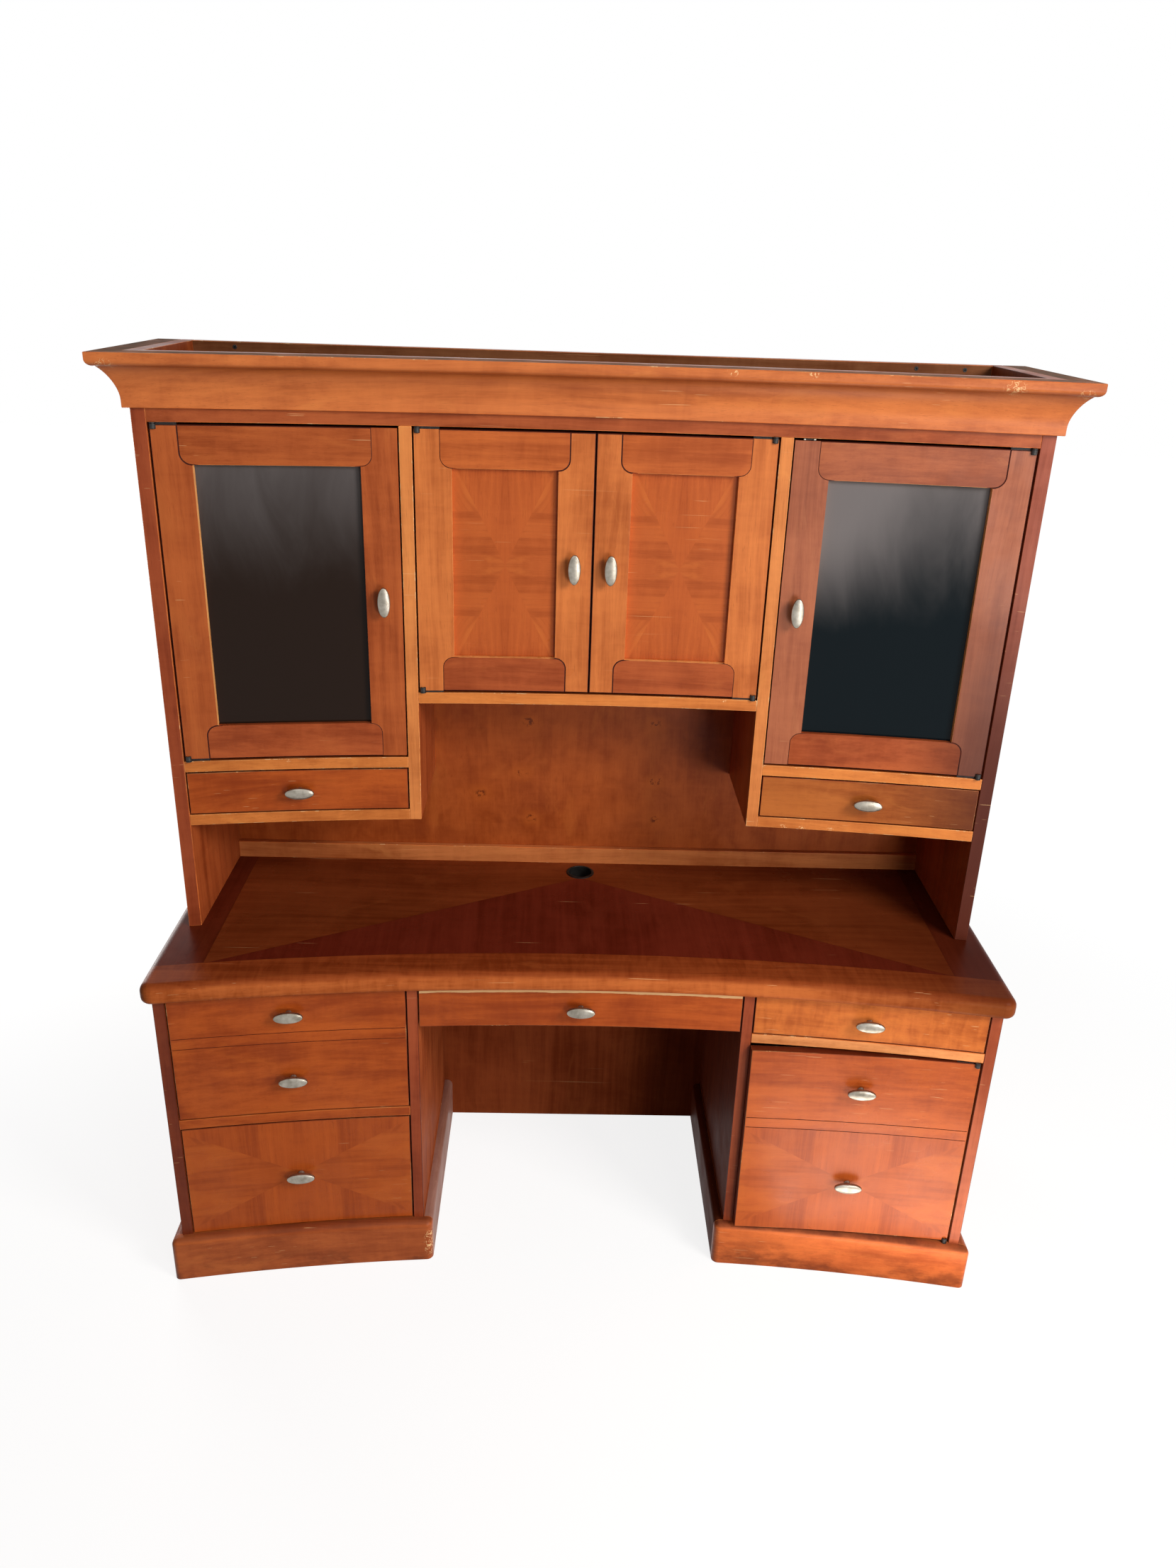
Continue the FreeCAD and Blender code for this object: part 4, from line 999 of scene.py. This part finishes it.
def fittings():
    """Screw heads on the top rail, and the catch with its two tips over the right glazed door."""
    screws = []
    for x in SCREW_PLACES:
        head = turned(lathe(SCREW_PROFILE, 20), "X", QUARTER_TURN)
        screws.append(moved(head, (x, RAIL_FACE, SCREW_LEVEL)))
    add_piece("top_rail_screws", screws, "case", "black_steel", [STEEL])
    metal = 1
    low, high = CATCH_LEVELS
    front = hutch_front(CATCH_MIDDLE)
    catch = block(CATCH_MIDDLE - CATCH_HALF, CATCH_MIDDLE + CATCH_HALF, low, high, CATCH_DEPTH)
    ease_edges(catch, catch.edges[:], CATCH_EASE, FACE)
    parts = [moved(catch, (0, front + CATCH_SETBACK, 0))]
    for x in (CATCH_MIDDLE - TIP_REACH, CATCH_MIDDLE + TIP_REACH):
        tip = block(x - TIP_HALF, x + TIP_HALF, low + TIP_INSET, high - TIP_INSET, TIP_DEPTH)
        ease_edges(tip, tip.edges[:], TIP_EASE, metal)
        restain(tip, FACE, metal)
        parts.append(moved(tip, (0, front + TIP_SETBACK, 0)))
    add_piece("right_glass_door_catch", parts, "case", "black_plastic", [PLASTIC, NICKEL_LEVEL])


# Crown

def crown_section():
    """The crown's section as a face, with two of its corners rounded into the cove and the lip."""
    bm, verts = outline([
        (0, 0), (BAND_OUT, 0), (BAND_OUT, BAND_HEIGHT), COVE_CORNER, (LIP_START, LIP_HEIGHT),
        (CROWN_OUT, LIP_HEIGHT), (CROWN_OUT, CROWN_HEIGHT), (0, CROWN_HEIGHT),
    ])
    round_corners(bm, [verts[3]], COVE_TANGENT, 10)
    round_corners(bm, [verts[5]], LIP_RADIUS, 7)
    return bm


def ease_crown(bm):
    """Ease the crown's long arrises at its foot and its top."""
    arrises = []
    for edge in bm.edges:
        low, high = sorted(vert.co.z for vert in edge.verts)
        level = high - low < LEVEL_GAP and min(abs(low - CROWN_LOW), abs(low - CROWN_HIGH)) < LEVEL_GAP
        if level and len(edge.link_faces) == 2 and edge.calc_face_angle(0) > SHARP_ANGLE:
            arrises.append(edge)
    ease_edges(bm, arrises, CROWN_EASE, ARRIS)


def trimmed(bm, point, outward):
    """Cut a moulding off at a mitre and close the cut."""
    made = cut(bm, point, outward, True)
    edges = [item for item in made["geom_cut"] if isinstance(item, bmesh.types.BMEdge)]
    bmesh.ops.holes_fill(bm, edges=edges)


def crown():
    """A curved length across the front and a straight return at each side."""
    inner = Vector((HUTCH_OUT, hutch_front(HUTCH_OUT), CROWN_LOW))
    outer_x = HUTCH_OUT + CROWN_OUT
    outer = Vector((outer_x, on_arc(HUTCH_RADIUS - CROWN_OUT)(outer_x), CROWN_LOW))
    along = (outer - inner).normalized()
    square = Vector((-along.y, along.x, 0))
    front = turned(crown_section(), "Z", -QUARTER_TURN)
    moved(front, (0, AXIS_Y + HUTCH_RADIUS, CROWN_LOW))
    centre = (0, AXIS_Y, 0)
    turned(front, "Z", -CROWN_SWEEP, centre)
    bmesh.ops.spin(front, geom=all_of(front), cent=centre, axis=(0, 0, 1), angle=2 * CROWN_SWEEP, steps=44)
    closed(front)
    ease_crown(front)
    trimmed(front, inner, square)
    trimmed(front, Vector((-inner.x, inner.y, inner.z)), Vector((-square.x, square.y, 0)))
    closed(front)
    add_piece("crown_front_moulding", [front], "case", "cherry_trim", [CROWN, WORN], "crown_front")
    runs = []
    start = outer.y - MITRE_SPARE
    for side in (-1, 1):
        run = pulled(moved(crown_section(), (HUTCH_OUT, start, CROWN_LOW)), (0, BACK - start, 0))
        ease_crown(run)
        trimmed(run, inner, -square)
        bmesh.ops.scale(run, vec=(side, 1, 1), verts=run.verts)
        runs.append(closed(run))
    add_piece("crown_return_mouldings", runs, "case", "cherry_trim", [CROWN_RETURN, WORN], "crown_returns")


# Doors. A frame's finishes are those of its stiles, upper rail, joints, lower rail, rims and opening.

STILE_WOOD, UPPER_WOOD, JOINT, LOWER_WOOD, HIDDEN, OPENING = range(6)


def sawn_member(corners, rounded, opening):
    """A stile or rail cut to an outline in X and Z. rounded lists the corners to be rounded.

    opening tells points of the edge that borders the door's opening, which is rounded over.
    """
    bm, verts = outline(corners)
    round_corners(bm, [verts[index] for index in rounded], SHOULDER_ROUND, 8)
    pulled(bm, (0, FRONT_THICKNESS, 0))
    front_edges = [edge for edge in bm.edges if max(vert.co.y for vert in edge.verts) < FLUSH]
    joints = [edge for edge in front_edges if not all(opening(vert.co) for vert in edge.verts)]
    ease_edges(bm, joints, JOINT_EASE, JOINT)
    soft = [edge for edge in bm.edges if edge.calc_face_angle(0) > SHARP_ANGLE
            and all(opening(vert.co) and vert.co.y < FLUSH for vert in edge.verts)]
    ease_edges(bm, soft, OPENING_ROUND, OPENING, 4)
    paint_rim_shade(bm, HIDDEN, opening)
    paint_rim_shade(bm, OPENING)
    return bm


def framed_door(word, stile_finish, rail_finish, glazed):
    """Stiles with hollowed shoulders and rails with rounded ends, round the door's opening."""
    node = f"{word}_frame"
    low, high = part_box(node)
    left, right, foot, head = low.x, high.x, low.z, high.z
    sill, lintel = foot + DOOR_RAIL, head - DOOR_RAIL
    back = on_arc(HUTCH_RADIUS + FRONT_THICKNESS)
    parts = []
    for outer, way in ((left, 1), (right, -1)):
        shoulder, inner = outer + way * STILE_SHOULDER, outer + way * STILE
        corners = [(outer, foot), (shoulder, foot), (shoulder, sill), (inner, sill),
                   (inner, lintel), (shoulder, lintel), (shoulder, head), (outer, head)]
        stile = sawn_member(corners, (2, 5), lambda point: abs(point.x - inner) < TOUCH)
        bend(stile, min(outer, inner), max(outer, inner), hutch_front, back, FRONT_THICKNESS)
        parts.append(stile)
    start, stop = left + STILE_SHOULDER, right - STILE_SHOULDER
    for outer, inner, index in ((foot, sill, LOWER_WOOD), (head, lintel, UPPER_WOOD)):
        corners = [(start, outer), (stop, outer), (stop, inner), (start, inner)]
        rail = sawn_member(corners, (2, 3), lambda point: abs(point.z - inner) < TOUCH)
        restain(rail, STILE_WOOD, index)
        if glazed and index == LOWER_WOOD:
            restain(rail, OPENING, index)
        bend(rail, start, stop, hutch_front, back, FRONT_THICKNESS)
        parts.append(rail)
    add_piece(f"{word}_joinery", parts, word, "cherry_front",
              [stile_finish, rail_finish, GROOVE, LOW_RAIL, RIM_SHADE, REVEAL_AND_HIGHLIGHT], node)


def hang(word, axis_x, radius):
    """Finish a door's pivots, with a black ring round their axis at its head and its foot."""
    dress(f"{word}_pivots", STEEL)
    low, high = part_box(f"{word}_pivots")
    rings = []
    for foot in (low.z + RING_GAP, high.z - RING_GAP - RING_HEIGHT):
        head = foot + RING_HEIGHT
        ring = lathe([(RING_IN, foot), (RING_IN, head), (RING_OUT - RING_EASE, head),
                      (RING_OUT, head - RING_EASE), (RING_OUT, foot + RING_EASE),
                      (RING_OUT - RING_EASE, foot), (RING_IN, foot)], 32)
        rings.append(moved(ring, (axis_x, on_arc(radius)(axis_x), 0)))
    add_piece(f"{word}_knuckles", rings, word, "black_steel", [STEEL])


def doors():
    """Four hutch doors, hung at their outer edges: two glazed, two panelled."""
    for side in ("left", "right"):
        for kind in ("glass", "centre"):
            word = f"{side}_{kind}_door"
            if kind == "glass":
                framed_door(word, STILES[side], RAILS[side], True)
                dress(f"{word}_pane", GLASS)
            else:
                framed_door(word, STILE_HONEY, RAIL_HONEY, False)
                panel = f"{word}_panel"
                veneer = quartered(f"{side}_panel_veneer", PANEL_CHERRY, middle_of(panel), *PANEL_CROSS)
                dress(panel, veneer)
            low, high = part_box(f"{word}_frame")
            hang(word, low.x + PIVOT_INSET if side == "left" else high.x - PIVOT_INSET, HUTCH_RADIUS)


# Drawer fronts and the pedestal door. Their finishes are those of the face, edges, scored lines and rims.

SCORED, RIMS = 2, 3


def scored_board(left, right, low, high, radius, scores):
    """A curved front with scored lines that make it look like several drawers."""
    bm = block(left, right, low, high, FRONT_THICKNESS)
    ease_edges(bm, bm.edges[:], EASE, ARRIS)
    start, stop = left + 2 * EASE, right - 2 * EASE
    for line in scores:
        for z in (line - SCORE_HALF, line + SCORE_HALF):
            cut(bm, (0, 0, z), (0, 0, 1))
    if scores:
        for x in (start, stop):
            cut(bm, (x, 0, 0), (1, 0, 0))
    strips = []
    for face in bm.faces:
        middle = face.calc_center_median()
        on_line = any(abs(middle.z - line) < SCORE_HALF for line in scores)
        if on_line and middle.y < FLUSH and start < middle.x < stop:
            strips.append(face)
    for strip in strips:
        made = bmesh.ops.inset_individual(bm, faces=[strip], thickness=SCORE_SLOPE, depth=-SCORE_DEPTH)
        for face in made["faces"] + [strip]:
            face.material_index = SCORED
    paint_rim_shade(bm, RIMS)
    bend(bm, left, right, on_arc(radius), on_arc(radius + FRONT_THICKNESS), FRONT_THICKNESS)
    return bm


def drawer_front(word, radius, face, scores=()):
    """The front of one drawer, and its box."""
    node = f"{word}_front"
    low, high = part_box(node)
    bm = scored_board(low.x, high.x, low.z, high.z, radius, scores)
    add_piece(f"{node}_board", [bm], word, "cherry_front", [face, WORN_AND_SHADED_FRONT, SCORE, RIM_SHADE], node)
    dress(f"{word}_box", DRAWER_WOOD)


def fronts():
    """All drawer fronts, and the ajar pedestal door."""
    drawer_front("left_upper_drawer", PEDESTAL_RADIUS, DRAWER_FACE, LEFT_SCORES)
    middle = middle_of("left_file_drawer_front")
    file_face = quartered("file_drawer_veneer", RED_CHERRY, middle, *FRONT_CROSS)
    drawer_front("left_file_drawer", PEDESTAL_RADIUS, file_face)
    drawer_front("centre_drawer", PEDESTAL_RADIUS, RUBBED_FACE)
    drawer_front("right_top_drawer", PEDESTAL_RADIUS, CURLY_FACE)
    for side in ("left", "right"):
        drawer_front(f"{side}_hutch_drawer", HUTCH_RADIUS, HUTCH_FACES[side])
    low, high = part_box("pedestal_door_slab")
    middle = ((DOOR_LEFT + DOOR_RIGHT) / 2, (low.z + DOOR_SCORES[0]) / 2)
    face = quartered("pedestal_door_veneer", RED_CHERRY, middle, *FRONT_CROSS, DOOR_SCORES[0], 0.22)
    slab = scored_board(DOOR_LEFT, DOOR_RIGHT, low.z, high.z, PEDESTAL_RADIUS, DOOR_SCORES)
    turned(slab, "Z", DOOR_AJAR, DOOR_PIVOT)
    add_piece("pedestal_door_board", [slab], "pedestal_door", "cherry_front",
              [face, WORN_AND_SHADED_FRONT, GROOVE, RIM_SHADE], "pedestal_door_slab")
    hang("pedestal_door", DOOR_PIVOT_X, PEDESTAL_RADIUS)
    dress("pivot_plates", STEEL)
    dress("drawer_guides", DRAWER_WOOD)


# Knobs

def knob_parts():
    """The oval head with its rim, and the round neck, standing up along Z on Z = 0."""
    head = lathe(KNOB_PROFILE, 56)
    bmesh.ops.scale(head, vec=(KNOB_HALF_LONG, KNOB_HALF_SHORT, 1), verts=head.verts)
    return [head, lathe(NECK_PROFILE, 32)]


def knobs(word, spots, radius, upright=False, ajar=False):
    """One or two knobs, square to the curved front behind them."""
    parts = []
    for x, z in spots:
        angle = math.asin(-x / radius)
        place = Matrix.Translation((x, on_arc(radius)(x), z)) @ Matrix.Rotation(angle, 4, "Z")
        stand = Matrix.Rotation(QUARTER_TURN, 4, "X")
        spin_up = Matrix.Rotation(QUARTER_TURN if upright else 0, 4, "Z")
        for part in knob_parts():
            bmesh.ops.transform(part, matrix=place @ stand @ spin_up, verts=part.verts)
            if ajar:
                turned(part, "Z", DOOR_AJAR, DOOR_PIVOT)
            parts.append(part)
    node = f"{word}_knob" if len(spots) == 1 else f"{word}_knobs"
    add_piece(f"{node}_metal", parts, word, "nickel", [NICKEL_UPRIGHT if upright else NICKEL_LEVEL], node)


def round_scores(node, x, scores):
    """Places for two knobs: below the lower scored line of a front and above the upper one."""
    low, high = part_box(node)
    return [(x, (low.z + scores[0]) / 2), (x, (scores[1] + high.z) / 2)]


def all_knobs():
    """Thirteen knobs, in the middle of the drawer fronts and on the free stiles of the doors."""
    for word in ("left_file_drawer", "right_top_drawer", "centre_drawer"):
        knobs(word, [middle_of(f"{word}_front")], PEDESTAL_RADIUS)
    for word in ("left_hutch_drawer", "right_hutch_drawer"):
        knobs(word, [middle_of(f"{word}_front")], HUTCH_RADIUS)
    node = "left_upper_drawer_front"
    knobs("left_upper_drawer", round_scores(node, middle_of(node)[0], LEFT_SCORES), PEDESTAL_RADIUS)
    spots = round_scores("pedestal_door_slab", (CASE_IN + CASE_OUT) / 2, DOOR_SCORES)
    knobs("pedestal_door", spots, PEDESTAL_RADIUS, ajar=True)
    for word in ("left_glass_door", "left_centre_door", "right_centre_door", "right_glass_door"):
        low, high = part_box(f"{word}_frame")
        x = high.x - STILE / 2 if word.startswith("left") else low.x + STILE / 2
        knobs(word, [(x, (low.z + high.z) / 2)], HUTCH_RADIUS, upright=True)


# Pedestals and plinths

def pedestal_sides(side, word):
    """The kneehole board and the outer board of a pedestal."""
    kneehole, outside = 3, 4
    parts = [board(*sides_of(inner, outer)[side], 0, TOP_UNDER, pedestal_front, straight(CASE_BACK), edging)
             for inner, outer, edging in ((PEDESTAL_IN, CASE_IN, FRONT), (CASE_OUT, PEDESTAL_OUT, outside))]
    restain(parts[0], FACE, kneehole)
    # The eased edges take the dark rims: painted shade
    add_piece(f"{word}_pedestal_side_boards", parts, "case", "cherry_case",
              [SIDE_BOARD, RIM_SHADE, SIDE_EDGE, KNEEHOLE_SIDES[word], OUTER_EDGES[word]],
              f"{word}_pedestal_sides")


def plinth(side, word):
    """The curved front board of a plinth, and its two returns."""
    left, right = sides_of(PLINTH_IN, DESK_HALF)[side]

    def crest(point):
        """Upper edges and upright front corners of the front board."""
        in_front = point.y < TOUCH
        upper = point.z > PLINTH_HEIGHT - TOUCH and (in_front or abs(point.y - NOSE_REACH / 2) < TOUCH)
        corner = in_front and min(point.x - left, right - point.x) < TOUCH
        return upper or corner

    def foot(point):
        """Lower front edge of the front board, with its rounded corners."""
        return point.z < TOUCH and point.y < PLINTH_ROUND

    parts = [board(left, right, 0, PLINTH_HEIGHT, on_arc(TOP_RADIUS), pedestal_front, FACE,
                   [(PLINTH_ROUND, crest, FACE), (PLINTH_FOOT_ROUND, foot, FACE)])]
    outside, kneehole = 2, 3
    for inner, outer, shown, back, index in ((PLINTH_IN, PEDESTAL_IN, PLINTH_IN, CASE_BACK, kneehole),
                                             (PEDESTAL_OUT, DESK_HALF, DESK_HALF, BACK, outside)):
        shown_x = shown if side else -shown

        def outer_crest(point):
            """Upper outer edge of a return."""
            return point.z > PLINTH_HEIGHT - TOUCH and abs(point.x - shown_x) < TOUCH

        run = board(*sides_of(inner, outer)[side], 0, PLINTH_HEIGHT, pedestal_front, straight(back), index,
                    [(PLINTH_ROUND, outer_crest, index)])
        restain(run, FACE, index)
        parts.append(run)
    add_piece(f"{word}_plinth_boards", parts, "case", "cherry_trim",
              [PLINTHS[word], WORN, PLINTH_RETURN, KNEEHOLE_RETURNS[word]], f"{word}_plinth")


def pedestals():
    """Side boards, plinths and rails, with the finishes of the desk's plain boards."""
    for side, word in enumerate(("left", "right")):
        pedestal_sides(side, word)
        plinth(side, word)
    rails = [board(*limits, low, low + PEDESTAL_RAIL_HEIGHT, pedestal_front,
                   on_arc(PEDESTAL_RADIUS + PEDESTAL_RAIL_DEPTH), edging)
             for limits, low, edging in zip(sides_of(CASE_IN, CASE_OUT), PEDESTAL_RAIL_LOWS, (FACE, FRONT))]
    add_piece("pedestal_rail_boards", rails, "case", "cherry_case", [DRAWER_FACE, WORN, PEDESTAL_RAIL],
              "pedestal_rails")
    dress("desk_back", DESK_BACK)
    dress("pedestal_bottoms", SHELF)
    dress("desk_top", DESK_TOP)


def grommet():
    """A sleeve through the top with a rolled rim."""
    ring = moved(lathe(GROMMET_PROFILE, 64), (0, BACK - GROMMET_INSET, 0))
    add_piece("cable_grommet_ring", [ring], "case", "black_plastic", [PLASTIC], "cable_grommet")


hutch_case()
fittings()
crown()
doors()
fronts()
all_knobs()
pedestals()
grommet()


# Floor, world, lamps and camera. The floor turns white between two distances from the desk's middle.

FLOOR_HALF = 14
FLOOR_FADE = (1.1, 2.6)
FLOOR_GLOW = (0.84, 1.0)
FLOOR_GREY = (0.22, 0.0)
WORLD_LIGHT = 0.05
SENSOR_WIDTH = 36
FOCAL_LENGTH = 27.49
NEAREST = 0.05
CAMERA_PLACE = (-0.0636, -2.3353, 2.1049)
CAMERA_ANGLES = (-1.685, 90 - 23.304, 1.935)


def shown_white(nodes):
    """1 for rays from the camera, a reflection or glass, which should see a white studio."""
    rays = nodes.node("ShaderNodeLightPath").outputs
    total = rays["Is Camera Ray"]
    for name in ("Is Glossy Ray", "Is Transmission Ray"):
        total = nodes.maths("MAXIMUM", total, rays[name])
    return total


def studio():
    """A plain white floor that keeps a soft shadow near the desk, and an even world."""
    bm = bmesh.new()
    bmesh.ops.create_grid(bm, x_segments=8, y_segments=8, size=FLOOR_HALF)
    mesh = bpy.data.meshes.new("floor")
    bm.to_mesh(mesh)
    bm.free()
    floor = bpy.data.objects.new("floor", mesh)
    bpy.context.scene.collection.objects.link(floor)
    paint = Finish("studio_floor")
    far = paint.node("ShaderNodeVectorMath", {0: paint.place}, operation="LENGTH").outputs["Value"]
    glow = paint.between(far, *FLOOR_FADE, *FLOOR_GLOW)
    paint.feed(paint.shader.inputs["Emission Color"], WHITE)
    paint.feed(paint.shader.inputs["Emission Strength"], paint.times(shown_white(paint), glow))
    grey = paint.between(far, *FLOOR_FADE, *FLOOR_GREY)
    mesh.materials.append(paint.coated(grey, 0.9, sheen=0.1))
    world = bpy.data.worlds.new("studio_world")
    bpy.context.scene.world = world
    world.use_nodes = True
    air = Nodes(world.node_tree)
    background = air.tree.nodes["Background"].inputs
    air.feed(background["Color"], WHITE)
    air.feed(background["Strength"], air.between(shown_white(air), 0.0, 1.0, WORLD_LIGHT, 1.0))


def lamp(name, place, target, width, height, power, colour):
    """A soft rectangular lamp aimed at a point."""
    light = bpy.data.lights.new(name, "AREA")
    light.shape = "RECTANGLE"
    light.size = width
    light.size_y = height
    light.energy = power
    light.color = colour
    holder = bpy.data.objects.new(name, light)
    holder.location = place
    aim = Vector(target) - Vector(place)
    holder.rotation_euler = aim.to_track_quat("-Z", "Y").to_euler()
    holder.visible_camera = False
    bpy.context.scene.collection.objects.link(holder)


def camera():
    """The photograph's viewpoint."""
    lens = bpy.data.cameras.new("photo_camera")
    lens.sensor_width = SENSOR_WIDTH
    lens.lens = FOCAL_LENGTH
    lens.clip_start = NEAREST
    holder = bpy.data.objects.new("photo_camera", lens)
    yaw, pitch, roll = (math.radians(angle) for angle in CAMERA_ANGLES)
    turn = Matrix.Rotation(yaw, 4, "Z") @ Matrix.Rotation(pitch, 4, "X") @ Matrix.Rotation(roll, 4, "Z")
    holder.matrix_world = Matrix.Translation(CAMERA_PLACE) @ turn
    bpy.context.scene.collection.objects.link(holder)
    bpy.context.scene.camera = holder


studio()
lamp("floor_patch", (0.73, -0.62, 0.004), (0.73, -0.62, 1), 0.5, 0.45, 3.6, (1.0, 0.95, 0.88))
lamp("low_window", (1.9, -1.8, 0.5), (0.2, -0.1, 0.6), 1.0, 0.9, 16, (1.0, 0.95, 0.9))
lamp("tall_window", (1.52, -3.6, 1.0), (0.2, 0, 1.1), 0.9, 1.4, 48, (1.0, 0.97, 0.95))
lamp("high_window", (2.4, -2.2, 3.0), (0, 0, 1.4), 1.2, 1.2, 104, (1.0, 0.96, 0.92))
lamp("rear_window", (-2.1, 2.5, 1.0), (0, 0.2, 1.0), 1.8, 1.5, 64, (1.0, 0.97, 0.95))
lamp("room", (-0.2, -2.6, 3.6), (0, 0, 1.2), 2.4, 1.6, 12, (1.0, 0.96, 0.92))
camera()
bpy.context.scene.view_settings.view_transform = "Standard"
